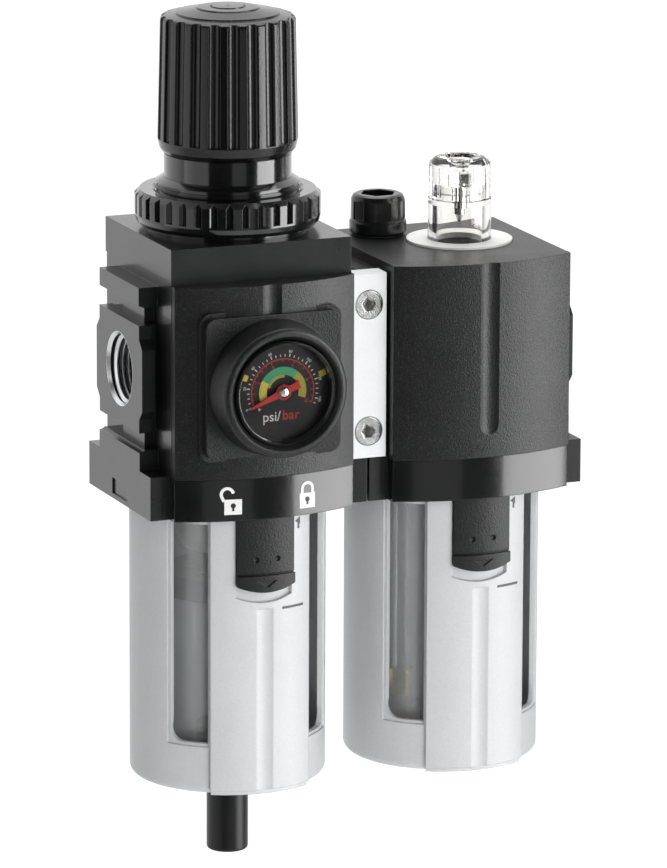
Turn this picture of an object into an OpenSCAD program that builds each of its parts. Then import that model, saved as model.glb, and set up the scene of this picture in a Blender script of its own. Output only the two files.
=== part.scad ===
// Modular filter regulator and lubricator, joined by a two-piece clamp.
// Millimetres. The origin is the centre of the inlet port's face, +X runs with
// the air from the filter regulator to the lubricator, +Y to the back, +Z up.

/* [Modules] */
// Width of each body across its side walls
body_w = 56.6; // [52:0.1:70]
// Depth of each body casting, front to back
body_d = 54.4; // [52:0.1:66]
// How far the port plates stand out from the side walls
plate_out = 6; // [5:0.1:8]
// Thickness of the gasket between the two modules
gasket_t = 0.65; // [0.4:0.05:1.2]
// Height of the filter regulator's body above the port centre
cap_top_z = 40.3; // [38:0.1:50]
// Height of the lubricator's body above the port centre
lub_top_z = 30.8; // [29:0.1:40]
// Height of the glossy collar around each bowl's neck
collar_h = 12.5; // [11:0.1:16]
// How far the collar's underside lies below the port centre
collar_drop = 40.5; // [38:0.1:46]
// How far the front covers bulge at the middle
cover_mid = 8.7; // [7:0.1:11]
// Depth of the front covers at their ends
cover_end = 2.5; // [2:0.1:4]

/* [Ports] */
// Diameter of the port thread's wall, for G 1/2
port_d = 20.96; // [16:0.01:24]
// Depth of the port thread
port_depth = 14; // [10:0.5:15]
// Diameter of the countersink at the port's mouth
port_mouth_d = 22.4; // [21:0.1:25]
// Height of each clamp screw above and below the port centre
clamp_screw_z = 19.1; // [18.5:0.1:20]

/* [Bowls and guards] */
// Length of the bowl guards below the collar
guard_len = 84.8; // [70:0.1:110]
// Wall of the metal guards
guard_wall = 2; // [1.6:0.1:2.4]
// How far the guard's front pad stands out
pad_out = 1.2; // [1:0.1:1.6]
// Wall of the clear bowls
bowl_wall = 2.2; // [1.8:0.1:3]
// Half angle of the guard's front pad
pad_half_angle = 31; // [28:0.5:34]
// Angle of each sight window's outer side from the front
window_angle = 57; // [50:0.5:62]
// Travel of the guard latches
latch_travel = 3.5; // [2:0.1:3.5]
// Length of the drain tube below the guard
drain_len = 24.8; // [15:0.1:40]
// Diameter of the drain tube
drain_d = 12.5; // [11:0.1:14]
// Travel of the drain tube when pushed up
drain_travel = 3; // [2:0.1:3.2]

/* [Regulator] */
// Diameter of the adjusting knob over its ribs at the bottom
knob_d = 41.5; // [40:0.1:48]
// Height of the adjusting knob's side
knob_h = 40.4; // [38:0.1:50]
// Number of ribs on the knob
knob_ribs = 22; // [16:1:28]
// Diameter of the bonnet's panel thread
neck_d = 42.8; // [42:0.1:46]
// Diameter of the panel nut
nut_d = 55; // [52:0.1:58]
// Height of the panel nut
nut_h = 10.2; // [8:0.1:12]
// Number of notches around the panel nut
nut_notches = 36; // [24:1:40]
// Diameter of the adjusting screw's thread
screw_d = 8; // [6:0.1:9]
// Travel of the spring nut
nut_travel = 7.5; // [5:0.1:7.5]
// Lift of the adjusting knob when it is pulled to unlock
knob_lift = 4; // [2:0.1:4]

/* [Gauge] */
// Diameter of the gauge's outer ring
gauge_d = 31.4; // [28:0.1:33]
// How far the round gauge boss stands out from its plate
boss_out = 10.4; // [10:0.1:13]
// Side of the square gauge plate
plate_side = 42; // [41:0.1:44]

/* [Lubricator] */
// Distance of the sight dome from the lubricator's axis
dome_x = 5.2; // [4.5:0.1:6]
// Diameter of the sight dome
dome_d = 19; // [17:0.1:19.5]
// Diameter of the white ring around the dome
ring_d = 31.8; // [29:0.1:32]
// Diameter of the fill plug
plug_d = 17.2; // [15:0.1:17.6]

/* [Hidden] */
$fn = 96;
e = 0.05;

// Module positions
body_half = body_w / 2;
depth_half = body_d / 2;
port_reach = body_half + plate_out;
fr_x = port_reach;
lub_x = fr_x + 2 * port_reach + gasket_t;
clamp_x = fr_x + port_reach + gasket_t / 2;
clamp_front_y = depth_half - 1.3;
clamp_screw_r = 2.5;
screw_head_r = 4.2;

// Heights shared by both modules
collar_z = -collar_drop;
collar_top_z = collar_z + collar_h;
cap_low_z = cap_top_z - 10.55;
socket_top_z = collar_z + 10;
seal_top_z = -22;

// Bowl, guard and bayonet radii, stepping inwards from the guard's skin
guard_r = body_half + 1;
guard_in_r = guard_r - guard_wall;
neck_r = guard_r - 3.6;
neck_in_r = neck_r - 1.45;
lug_r = neck_r + 1.6;
bowl_r = neck_in_r - 0.3;
bowl_in_r = bowl_r - bowl_wall;
seal_r = bowl_r;
pad_r = guard_r + pad_out;
guard_top_z = collar_z - 0.4;
guard_low_z = collar_z - 0.4 - guard_len;
neck_top_z = collar_z + 7.3;
bowl_low_z = guard_low_z + 9.5;
lug_half_angle = 15;
window_low_z = guard_low_z + 15.4;
window_top_z = guard_top_z - 2.6;
latch_half_angle = 16.4;
latch_low_z = guard_top_z - 22.6;
recess_low_z = latch_low_z - latch_travel - 0.1;
latch_top_z = collar_z - 0.3;
tongue_r = guard_r + 0.4;
tongue_t = 1.5;
turn_angle = 45;
tenon_half = 5;
tenon_low_z = latch_low_z + 5.5;
tenon_top_z = guard_top_z - 3.4;

// Regulator stack
spigot_r = 22.5;
flange_r = 24;
flange_h = 1.4;
nut_z = cap_top_z + flange_h + 0.2;
neck_r_thread = neck_d / 2;
band_r = 18.9;
thread_top_z = nut_z + nut_h + 2.4;
thread_pitch = 1.8;
band_low_z = thread_top_z + 1.8;
band_top_z = band_low_z + 6.5;
upper_neck_r = 17.4;
knob_r = knob_d / 2;
knob_z = band_top_z + 0.4;
knob_top_z = knob_z + knob_h;
knob_top_r = knob_r - 0.8;
cap_seat_r = 9.3;
bonnet_top_z = knob_top_z - 9;
diaphragm_z = cap_low_z + 0.25;
diaphragm_t = 1.2;
diaphragm_r = 19.5;
screw_r = screw_d / 2;
journal_r = screw_r + 1;
hex_r = 5.5;
spring_r = 11.5;
spring_wire_r = 1.3;
plate_top_z = diaphragm_z + 3.5;
nut_rest_z = bonnet_top_z - 16;
thrust_r = 8.5;
thrust_z = bonnet_top_z - 6.3;
thrust_h = 2.6;

// Valve
fit = 0.05;
clear = 0.3;
seat_z = 5;
seat_h = 3;
seat_r = 10;
valve_bore_r = 8.5;
valve_floor_z = -13;
stem_r = 2.5;
guide_r = 1.5;
poppet_h = 4;

// Air passages of the filter regulator
passage_r = 8.5;
well_x = 15.5;
well_r = 5.5;
boss_r = 9;
boss_bore_r = 5.5;
boss_low_z = -34;

// Gauge: it looks towards -Y from the middle of the filter regulator
gauge_z = -0.5;
plate_y = -(depth_half + cover_mid + 0.9);
boss_y = plate_y - boss_out;
gauge_r = gauge_d / 2;
gauge_back_y = -(depth_half + 4);
dial_y = boss_y + 3.9;
gauge_stem_r = 4.9;
arbor_r = 0.65;
pivot_r = 0.8;
needle_zero_angle = 202.5;
needle_sweep = 225;
pinion_r = 1.5;
sector_pivot = 11.2;
sector_r = sector_pivot - pinion_r;
sector_sweep = needle_sweep * pinion_r / sector_r;

// Filter internals
element_top_z = -34;
element_low_z = -56;
baffle_z = -63;
baffle_h = 6.7;
element_r = 15.3;
rod_r = 3;

// Drain
drain_tube_top_z = bowl_low_z - drain_travel - 3.7;
drain_low_z = guard_low_z - drain_len;
drain_r = drain_d / 2;
drain_neck_r = drain_r - 0.35;
drain_body_r = 7.2;
drain_stem_r = 2;
drain_nut_h = 3;

// Lubricator
dome_r = dome_d / 2;
ring_r = ring_d / 2;
ring_top_z = lub_top_z + 0.6;
dome_joint_z = lub_top_z + 13;
dome_top_z = lub_top_z + 25.4;
plug_r = plug_d / 2;
plug_x = -14;
plug_y = 17.3;
siphon_x = -8;
siphon_y = 12;
siphon_r = 2.6;
siphon_bore_r = 1.5;
siphon_low_z = bowl_low_z + 10;
flow_bore_r = 8.5;
drip_hole_r = 1.2;
needle_r = 1.6;
fill_hole_r = 6;

// ---------- shared shapes ----------

module disc(r, low, high) {
    translate([0, 0, low]) cylinder(r = r, h = high - low);
}

module ring(r_out, r_in, low, high) {
    difference() {
        disc(r_out, low, high);
        disc(r_in, low - 1, high + 1);
    }
}

module box(low, high) {
    translate(low) cube(high - low);
}

// Cylinder along X, from x0 to x1
module x_bar(r, x0, x1) {
    translate([x0, 0, 0]) rotate([0, 90, 0]) cylinder(r = r, h = x1 - x0);
}

// Cylinder along Y, from y0 to y1
module y_bar(r, y0, y1) {
    translate([0, y0, 0]) rotate([-90, 0, 0]) cylinder(r = r, h = y1 - y0);
}

// Part of a ring between two angles, measured from the front (-Y) towards +X
module sector(r_out, r_in, low, high, a0, a1) {
    rotate([0, 0, a0 - 90]) rotate_extrude(angle = a1 - a0)
        translate([r_in, low]) square([r_out - r_in, high - low]);
}

// Plan of a front piece whose face is an arc, standing on the plane y = -back
module bulge_plan(half_w, back, end_out, mid_out) {
    rise = mid_out - end_out;
    arc_r = (half_w * half_w + rise * rise) / (2 * rise);
    intersection() {
        translate([0, arc_r - back - mid_out]) circle(r = arc_r, $fn = 180);
        translate([-half_w, -back - mid_out]) square([2 * half_w, mid_out]);
    }
}

module bulge(half_w, back, end_out, mid_out, low, high) {
    translate([0, 0, low]) linear_extrude(high - low) bulge_plan(half_w, back, end_out, mid_out);
}

// Square block with round corners, its faces square to Y, from y0 to y1
module round_block(side, corner, y0, y1) {
    half = side / 2 - corner;
    for (sx = [-1, 1], sz = [-1, 1]) translate([sx * half, 0, sz * half]) y_bar(corner, y0, y1);
    box([-half, y0, -side / 2], [half, y1, side / 2]);
    box([-side / 2, y0, -half], [side / 2, y1, half]);
}

// Coil spring swept along its own helix
function coil_ring(r, wire, a, z, sides) = [for (i = [0:sides - 1])
    let (b = 360 * i / sides, rr = r + wire * cos(b)) [rr * cos(a), rr * sin(a), z + wire * sin(b)]];

module coil(r, wire, low, high, turns) {
    steps = 16;
    sides = 6;
    count = ceil(turns * steps);
    rise = (high - low - 2 * wire) / count;
    points = [for (i = [0:count]) each
        coil_ring(r, wire, 360 * i / steps, low + wire + rise * i, sides)];
    walls = [for (i = [0:count - 1], j = [0:sides - 1])
        let (n = (j + 1) % sides, a = i * sides, b = a + sides)
        each [[a + j, b + j, b + n], [a + j, b + n, a + n]]];
    first = [[for (j = [0:sides - 1]) j]];
    last = [[for (j = [sides - 1:-1:0]) count * sides + j]];
    polyhedron(points, concat(walls, first, last));
}

// ---------- shared module castings ----------

// Eight-sided port plate: narrower at its top and bottom than at the middle
module port_plate() {
    wide = 19;
    narrow = 16.5;
    high = 16.1;
    shoulder = 12;
    knee = 9.2;
    rotate([0, 90, 0]) linear_extrude(port_reach) polygon([
        [high, -narrow], [shoulder, -narrow], [knee, -wide], [-knee, -wide], [-shoulder, -narrow],
        [-high, -narrow], [-high, narrow], [-shoulder, narrow], [-knee, wide], [knee, wide],
        [shoulder, narrow], [high, narrow]]);
}

// Port plate, dovetail rails and collar block on the +X side
module side_features() {
    rail_half = 16.3;
    rail_low = 21.4;
    rail_high = 27.4;
    block_half = depth_half - 1.5;
    port_plate();
    box([0, -rail_half, rail_low], [port_reach, rail_half, rail_high]);
    box([0, -rail_half - 0.5, -rail_high], [port_reach, rail_half + 0.5, 0.2 - rail_low]);
    box([0, -block_half, collar_z], [port_reach, block_half, collar_top_z + 0.6]);
    // Tabs in the screw channels above and below the plate
    for (s = [-1, 1])
        box([0, -12.7, s * clamp_screw_z - 3], [port_reach - 3.1, 5, s * clamp_screw_z + 3]);
}

// Undercuts that the clamp's lips hook behind, and the clamp screws' channels
module side_cuts() {
    for (s = [-1, 1]) {
        box([body_half - 0.01, s > 0 ? 14.6 : -19.2, -16.6],
            [body_half + 1.9, s > 0 ? 19.2 : -14.6, 16.6]);
        translate([port_reach + gasket_t / 2, 0, s * clamp_screw_z]) y_bar(clamp_screw_r + 0.4, -40, 40);
    }
}

module casting(top) {
    box([-body_half, -depth_half, collar_z], [body_half, depth_half, top]);
    mirror([0, 1, 0]) bulge(body_half, depth_half - e, 0.6, 6.2, collar_z, collar_top_z);
    side_features();
    mirror([1, 0, 0]) side_features();
}

// Stepped socket under each casting: bayonet groove, flange seat and seal bore
module bowl_socket() {
    disc(neck_r + 0.35, collar_z - 1, socket_top_z);
    disc(lug_r + 0.35, collar_z + 3.9, socket_top_z);
    for (a = [turn_angle, turn_angle + 120, turn_angle + 240])
        sector(lug_r + 0.35, neck_r - 2, collar_z - 1, collar_z + 5,
            a - lug_half_angle - 3, a + lug_half_angle + 3);
    disc(seal_r + 0.15, socket_top_z - 1, seal_top_z);
}

// Groove that the latch's tongue runs in as the guard turns
module latch_groove() {
    sector(tongue_r + tongue_t + clear, tongue_r - clear, collar_z - 1, collar_z + 2.2,
        -turn_angle - 12, 12);
}

module port(s) {
    mirror([s > 0 ? 0 : 1, 0, 0]) {
        x_bar(port_d / 2, port_reach - port_depth, port_reach + 1);
        translate([port_reach, 0, 0]) rotate([0, -90, 0])
            cylinder(r1 = port_mouth_d / 2, r2 = port_d / 2, h = (port_mouth_d - port_d) * 0.8);
    }
}

// Pegs that hold a front cover in its casting
module cover_pegs(r, length) {
    for (x = [-20, 20], z = [-20, 20])
        translate([x, 0, z]) y_bar(r, -depth_half - 0.5, -depth_half + length);
}

// ---------- filter regulator ----------

module fr_body() {
    color("#1c1d1f") translate([fr_x, 0, 0]) difference() {
        casting(cap_top_z);
        // The back stands 1 mm in below the cap
        box([-body_half - 1, depth_half - 1, collar_top_z], [body_half + 1, depth_half + 1, cap_low_z]);
        side_cuts();
        mirror([1, 0, 0]) side_cuts();
        port(-1);
        port(1);
        difference() {
            bowl_socket();
            disc(boss_r, boss_low_z, seal_top_z + 1);
        }
        // Ring chamber that feeds the bowl, around the outlet boss
        ring(seal_r - 2, boss_r, seal_top_z - 1, valve_floor_z);
        x_bar(passage_r, -port_reach + port_depth - 1, 1.5 - well_x);
        translate([-well_x, 0, 0]) disc(well_r, valve_floor_z - 5, 0);
        // Clean air path: up the boss, through the valve, out to the right
        disc(boss_bore_r, boss_low_z - 1, valve_floor_z + 1);
        disc(valve_bore_r, valve_floor_z, seat_z + e);
        disc(seat_r, seat_z, seat_z + seat_h);
        disc(seat_r + 1, seat_z + seat_h - 0.1, seat_z + 12);
        translate([well_x, 0, 0]) disc(well_r, 0, seat_z + 12);
        x_bar(passage_r, well_x, port_reach - port_depth + 1);
        // Valve stem bore, pressure-sensing hole and diaphragm chamber
        disc(stem_r + fit, seat_z + 11, diaphragm_z - 4);
        translate([0, 8, 0]) disc(1.2, seat_z + 11, diaphragm_z - 4);
        disc(diaphragm_r, diaphragm_z - 5, diaphragm_z);
        disc(spigot_r + 0.1, diaphragm_z - diaphragm_t, cap_top_z + 1);
        // Gauge tapping
        translate([0, 0, gauge_z]) y_bar(gauge_stem_r + 0.1, -depth_half - 1, -depth_half + 9);
        translate([0, -depth_half + 8, gauge_z]) disc(1.4, 0, 12);
        translate([0, 0, gauge_z + 11]) y_bar(1.3, -depth_half + 8, -9);
        cover_pegs(2, 6);
        latch_groove();
        // Blank flow marks sunk into the collar's side blocks
        for (s = [-1, 1]) box([s * port_reach - 0.5, -6.1, -39], [s * port_reach + 0.5, 6.1, -34.2]);
    }
}

module cover_flute(low, high) {
    flute_r = 5.5;
    y = -(depth_half + cover_mid + flute_r - 0.9);
    translate([0, y, 0]) disc(flute_r, low, high);
    translate([0, y, low]) sphere(r = flute_r);
}

module fr_front_cover() {
    color("#26272a") translate([fr_x, 0, 0]) {
        difference() {
            union() {
                difference() {
                    bulge(body_half - 0.1, depth_half, cover_end, cover_mid,
                        collar_top_z + 0.15, cap_low_z - 0.15);
                    cover_flute(0, cap_low_z + 1);
                }
                round_block(plate_side + 2.4, 3.6, plate_y + 2.4, -depth_half - 1);
                round_block(plate_side, 3, plate_y, plate_y + 3);
                translate([0, 0, gauge_z]) gauge_boss();
            }
            translate([0, 0, gauge_z]) y_bar(gauge_r + 0.1, boss_y - 1, gauge_back_y);
            translate([0, 0, gauge_z]) y_bar(gauge_stem_r + clear, gauge_back_y - 1, -depth_half + 1);
        }
        cover_pegs(1.9, 5);
    }
}

// Round boss with a rounded rim and a cone down to the gauge's ring
module gauge_boss() {
    base_r = 20.3;
    front_r = 19.3;
    rim = 1.6;
    depth = plate_y - boss_y;
    rotate([90, 0, 0]) translate([0, 0, -plate_y - 1]) rotate_extrude($fn = 128) difference() {
        union() {
            polygon([[0, 0], [base_r, 0], [base_r, 1], [front_r, depth + 1 - rim],
                [front_r - rim, depth + 1 - rim], [front_r - rim, depth + 1], [0, depth + 1]]);
            translate([front_r - rim, depth + 1 - rim]) circle(r = rim, $fn = 48);
        }
        polygon([[0, depth + 2], [0, depth - 0.6], [gauge_r + 0.1, depth - 0.6],
            [gauge_r + 1.4, depth + 1], [gauge_r + 1.4, depth + 2]]);
    }
}

module collar_cover() {
    difference() {
        bulge(body_half - 0.05, depth_half, 2, 8, collar_z, collar_top_z);
        latch_groove();
        // Bayonet and guard clearance behind the front
        disc(lug_r + 0.35, collar_z - 1, socket_top_z);
    }
}

module fr_collar_cover() {
    color("#141517") translate([fr_x, 0, 0]) collar_cover();
}

// Bonnet: threaded spigot, flange, panel thread, glossy band and guide neck
module bonnet() {
    bore_r = spring_r + 3.4;
    slot_half = 2;
    color("#18191b") translate([fr_x, 0, 0]) difference() {
        union() {
            disc(spigot_r, diaphragm_z, cap_top_z);
            disc(flange_r, cap_top_z, cap_top_z + flange_h);
            disc(neck_r_thread, cap_top_z, thread_top_z);
            translate([0, 0, thread_top_z])
                cylinder(r1 = neck_r_thread, r2 = band_r + 0.3, h = 1.4);
            disc(band_r, band_low_z - 1, band_top_z);
            disc(upper_neck_r, band_top_z - 1, bonnet_top_z);
        }
        // Roots between the thread's crests
        for (z = [cap_top_z + 2.2:thread_pitch:thread_top_z - 1])
            ring(neck_r_thread + 1, neck_r_thread - 0.9, z, z + thread_pitch / 2);
        disc(diaphragm_r - 1, diaphragm_z - 1, plate_top_z + 1.2);
        disc(bore_r, diaphragm_z, thrust_z - 0.2);
        disc(journal_r + fit, bonnet_top_z - 8, bonnet_top_z + 1);
        // Slots that keep the spring nut from turning
        for (a = [0, 180]) rotate([0, 0, a])
            box([0, -slot_half - fit, nut_rest_z - nut_travel - 6],
                [bore_r + 1.6, slot_half + fit, thrust_z - 0.2]);
        // Recess for the screw's thrust flange
        disc(thrust_r + 0.5, thrust_z - clear, thrust_z + thrust_h + clear);
        // Bleed hole to the open air
        translate([0, 0, band_low_z + 3]) y_bar(1, 0, band_r + 2);
    }
}

module panel_nut() {
    r = nut_d / 2;
    top = nut_z + nut_h;
    notch_low = nut_z + 3.2;
    color("#17181a") translate([fr_x, 0, 0]) difference() {
        rotate_extrude($fn = 144) polygon([[neck_r_thread + fit, nut_z], [r - 1.3, nut_z],
            [r - 0.3, nut_z + 1.2], [r, nut_z + 2.6], [r, top - 1.4], [r - 1.5, top],
            [neck_r_thread + 1.2, top], [neck_r_thread + fit, top - 1.1]]);
        for (i = [0:nut_notches - 1]) rotate([0, 0, 360 * i / nut_notches])
            translate([r + 0.35, 0, notch_low]) rotate([0, 0, 45])
                translate([-1.1, -1.1, 0]) cube([2.2, 2.2, nut_h]);
    }
}

module adjusting_screw() {
    color("#8f9296") translate([fr_x, 0, 0]) {
        disc(screw_r, plate_top_z + 8, thrust_z + 1);
        disc(thrust_r, thrust_z, thrust_z + thrust_h);
        disc(journal_r, thrust_z, bonnet_top_z + 0.4);
        translate([0, 0, bonnet_top_z + 0.3]) cylinder(r = hex_r, h = knob_lift + 1.2, $fn = 6);
    }
}

module adjusting_knob() {
    ceiling = bonnet_top_z + knob_lift + 1.9;
    groove_r = 1.85;
    groove_depth = 1.35;
    socket_r = hex_r + 2.7;
    lean = atan((knob_r - knob_top_r) / (knob_h - 6));
    color("#1b1c1e") translate([fr_x, 0, 0]) {
        difference() {
            rotate_extrude($fn = 144) knob_profile();
            for (i = [0:knob_ribs - 1]) rotate([0, 0, 360 * (i + 0.5) / knob_ribs])
                translate([knob_r + groove_r - groove_depth, 0, knob_z + 4]) rotate([0, -lean, 0])
                    cylinder(r = groove_r, h = knob_h + 4, $fn = 24);
            disc(upper_neck_r + clear, knob_z - 1, bonnet_top_z + 0.4);
            disc(socket_r - 0.2, bonnet_top_z, ceiling);
            disc(cap_seat_r, knob_top_z - 1, knob_top_z + 5);
        }
        // Drive socket that slides on the screw's hexagon
        difference() {
            ring(socket_r, 0.5, bonnet_top_z + 0.4, ceiling + 0.1);
            translate([0, 0, bonnet_top_z - 1]) cylinder(r = hex_r + 0.15, h = 12, $fn = 6);
        }
    }
}

module knob_profile() {
    edge = 1.3;
    crown_r = knob_top_r - 4.6;
    crown_top = knob_top_z + 1.9;
    polygon([[0, knob_z], [knob_r - 1.55, knob_z], [knob_r - 0.65, knob_z + 1.2], [knob_r, knob_z + 3.8],
        [knob_top_r, knob_top_z - edge], [knob_top_r - edge, knob_top_z - 0.2],
        [knob_top_r - edge - 0.6, knob_top_z], [crown_r + 0.3, knob_top_z + 0.4],
        [crown_r, knob_top_z + 0.9], [cap_seat_r + 0.3, crown_top], [0, crown_top]]);
    translate([knob_top_r - edge, knob_top_z - edge]) circle(r = edge - 0.05, $fn = 32);
}

module knob_cap() {
    cap_r = cap_seat_r - 0.1;
    button_r = 4.7;
    color("#202123") translate([fr_x, 0, knob_top_z]) rotate_extrude($fn = 96) polygon([[0, -1],
        [cap_r, -1], [cap_r, 2], [cap_r - 0.4, 2.3], [button_r + 0.7, 2.4],
        [button_r + 0.5, 2.1], [button_r + 0.2, 2.1], [button_r, 2.6], [0.5, 2.7],
        [0.4, 2.4], [0, 2.4]]);
}

module spring_nut() {
    spring_nut_h = 5;
    color("#b59a4c") translate([fr_x, 0, 0]) difference() {
        union() {
            disc(spring_r + 3, nut_rest_z, nut_rest_z + spring_nut_h);
            disc(spring_r - spring_wire_r - 0.7, nut_rest_z - 4, nut_rest_z + 0.1);
            box([-spring_r - 4.6, -1.9, nut_rest_z], [spring_r + 4.6, 1.9, nut_rest_z + spring_nut_h]);
        }
        disc(screw_r + fit, nut_rest_z - 5, nut_rest_z + spring_nut_h + 1);
    }
}

module range_spring() {
    color("#8d9094") translate([fr_x, 0, 0])
        coil(spring_r, spring_wire_r, plate_top_z + 0.05, nut_rest_z - 0.05, 6);
}

module diaphragm() {
    color("#2b2b2b") translate([fr_x, 0, 0]) difference() {
        disc(spigot_r - 0.1, diaphragm_z - diaphragm_t, diaphragm_z);
        disc(stem_r + 0.6, diaphragm_z - 2, diaphragm_z + 1);
    }
}

module diaphragm_plate() {
    color("#a9acb0") translate([fr_x, 0, 0]) difference() {
        union() {
            disc(15, diaphragm_z, plate_top_z);
            disc(14, diaphragm_z - 3, diaphragm_z - diaphragm_t);
            disc(stem_r + 0.6, diaphragm_z - 2.9, diaphragm_z + 1);
            ring(spring_r - spring_wire_r - 0.6, 5, plate_top_z - 1, plate_top_z + 3);
        }
        disc(stem_r, diaphragm_z - 4, diaphragm_z + 1);
    }
}

module valve_seat() {
    color("#c9a958") translate([fr_x, 0, 0]) ring(seat_r - fit, 5.6, seat_z, seat_z + seat_h);
}

module valve_stem() {
    color("#c9a958") translate([fr_x, 0, 0]) {
        disc(stem_r, seat_z - 5, diaphragm_z + 1);
        disc(guide_r, valve_floor_z - 4, seat_z - poppet_h);
    }
}

module valve_poppet() {
    color("#2d2d2d") translate([fr_x, 0, 0]) difference() {
        disc(valve_bore_r - 1.1, seat_z - poppet_h, seat_z - 0.05);
        disc(stem_r, seat_z - 5, seat_z + 1);
    }
}

module valve_spring() {
    color("#8d9094") translate([fr_x, 0, 0]) coil(4.6, 0.6, valve_floor_z + 0.2, seat_z - poppet_h - 0.05, 5);
}

module valve_retainer() {
    color("#d7d2c4") translate([fr_x, 0, 0]) difference() {
        union() {
            disc(boss_bore_r - fit, valve_floor_z - 7, valve_floor_z);
            ring(boss_bore_r + 1.6, 5.2, valve_floor_z, valve_floor_z + 0.8);
        }
        disc(guide_r + fit, valve_floor_z - 8, valve_floor_z + 2);
        for (a = [0:90:270]) rotate([0, 0, a])
            translate([3.5, 0, 0]) disc(1.1, valve_floor_z - 8, valve_floor_z + 2);
    }
}

// Louvred ring that spins the incoming air
module deflector() {
    vane_count = 12;
    color("#303236") translate([fr_x, 0, 0]) difference() {
        disc(bowl_in_r - 0.7, boss_low_z, boss_low_z + 3);
        disc(boss_r + fit, boss_low_z - 1, boss_low_z + 4);
        for (i = [0:vane_count - 1]) rotate([0, 0, 360 * i / vane_count])
            translate([15.5, 0, boss_low_z + 1.5]) rotate([30, 0, 0]) cube([8, 1.8, 8], center = true);
    }
}

module filter_element() {
    element_wall = 4.8;
    color("#e4e4de") translate([fr_x, 0, 0]) difference() {
        rotate_extrude() polygon([[0, element_low_z], [element_r - 2, element_low_z],
            [element_r, element_low_z + 3.5], [element_r, element_top_z], [0, element_top_z]]);
        disc(element_r - element_wall, element_low_z + 3, element_top_z + 1);
        disc(rod_r + 0.1, element_low_z - 1, element_low_z + 4);
    }
}

// Threaded rod and skirt that hold the element up and keep the water below still
module element_baffle() {
    skirt_r = 19.4;
    color("#3a3c40") translate([fr_x, 0, 0]) {
        disc(rod_r, baffle_z - 4, boss_low_z + 9);
        difference() {
            disc(boss_bore_r - 0.1, boss_low_z + 5, boss_low_z + 9.5);
            for (a = [0:90:270]) rotate([0, 0, a])
                translate([4.1, 0, 0]) disc(0.9, boss_low_z + 4, boss_low_z + 10);
        }
        disc(7, baffle_z, element_low_z);
        difference() {
            rotate_extrude() polygon([[0, baffle_z - 0.4], [skirt_r, baffle_z],
                [skirt_r, baffle_z - baffle_h], [skirt_r - 1.4, baffle_z - baffle_h],
                [skirt_r - 1.6, baffle_z - 1.8], [0, baffle_z - 2.4]]);
            for (a = [30:60:330]) rotate([0, 0, a])
                translate([11.5, 0, 0]) disc(2, baffle_z - 4, baffle_z + 1);
        }
    }
}

// Clear bowl: seal spigot, flange on the guard's neck, straight wall and round foot
module bowl(hole_r) {
    corner = 8;
    flange_low = neck_top_z;
    spigot_top = seal_top_z - 2;
    difference() {
        union() {
            disc(bowl_r, bowl_low_z + corner, spigot_top);
            disc(neck_r - 0.1, flange_low, flange_low + 2.2);
            bowl_foot(bowl_r, corner, bowl_low_z);
        }
        disc(bowl_in_r, bowl_low_z + corner, spigot_top + 1);
        bowl_foot(bowl_in_r, corner - bowl_wall, bowl_low_z + bowl_wall);
        if (hole_r > 0) disc(hole_r, bowl_low_z - 1, bowl_low_z + bowl_wall + 1);
        // O-ring groove in the spigot
        ring(bowl_r + 1, bowl_r - 1.5, seal_top_z - 6.6, seal_top_z - 4.2);
    }
}

module bowl_foot(r, corner, low) {
    rotate_extrude() {
        translate([0, low]) square([r - corner, corner + e]);
        intersection() {
            translate([r - corner, low + corner]) circle(r = corner);
            translate([0, low]) square([r, corner]);
        }
        translate([0, low + corner - 0.01]) square([r, e]);
    }
}

module filter_bowl() {
    color("#dfe6ea", 0.4) translate([fr_x, 0, 0]) bowl(drain_body_r + 0.1);
}

module bowl_oring() {
    rotate_extrude() translate([bowl_r - 0.68, seal_top_z - 5.4]) circle(r = 0.8, $fn = 32);
}

module filter_bowl_oring() {
    color("#222222") translate([fr_x, 0, 0]) bowl_oring();
}

// Metal guard: bayonet neck, skin with four windows, front pad and latch recess
module guard(drain_hole_r) {
    difference() {
        union() {
            ring(neck_r, neck_in_r, guard_top_z - 1, neck_top_z);
            for (a = [0, 120, 240])
                sector(lug_r, neck_in_r + 0.1, collar_z + 4.3, neck_top_z - 0.4,
                    a - lug_half_angle, a + lug_half_angle);
            ring(guard_r, neck_in_r, guard_top_z - 2.4, guard_top_z);
            ring(guard_r, guard_in_r, guard_low_z + 3, guard_top_z - 1);
            guard_foot();
            sector(pad_r, guard_in_r + 0.1, guard_low_z + 1.2, guard_top_z,
                -pad_half_angle, pad_half_angle);
            sector(pad_r - 0.8, guard_in_r + 0.1, guard_low_z, guard_low_z + 2,
                -pad_half_angle, pad_half_angle);
        }
        for (a = [0, 180]) rotate([0, 0, a]) {
            window();
            mirror([1, 0, 0]) window();
        }
        // Latch recess with a curved lower end
        intersection() {
            sector(pad_r + 1, guard_r - 0.3, recess_low_z - 3, guard_top_z + 1,
                -latch_half_angle - 0.6, latch_half_angle + 0.6);
            latch_outline(recess_low_z, guard_top_z + 2);
        }
        // Slot for the latch's tenon
        box([-tenon_half - clear, -guard_r - 1, tenon_low_z - latch_travel - clear],
            [tenon_half + clear, -guard_in_r + 3, tenon_top_z + clear]);
        // Flute down the middle of the pad
        translate([0, -pad_r - 4.7, guard_low_z - 1])
            cylinder(r = 5.5, h = recess_low_z - guard_low_z - 1);
        disc(drain_hole_r, guard_low_z - 1, guard_low_z + 4);
    }
}

module guard_foot() {
    corner = 2.4;
    rotate_extrude($fn = 128) {
        translate([0, guard_low_z]) square([guard_r - corner, 2.2]);
        translate([guard_in_r - 1, guard_low_z + corner]) square([guard_wall + 1, 3]);
        translate([guard_r - corner, guard_low_z + corner]) circle(r = corner, $fn = 48);
    }
}

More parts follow.
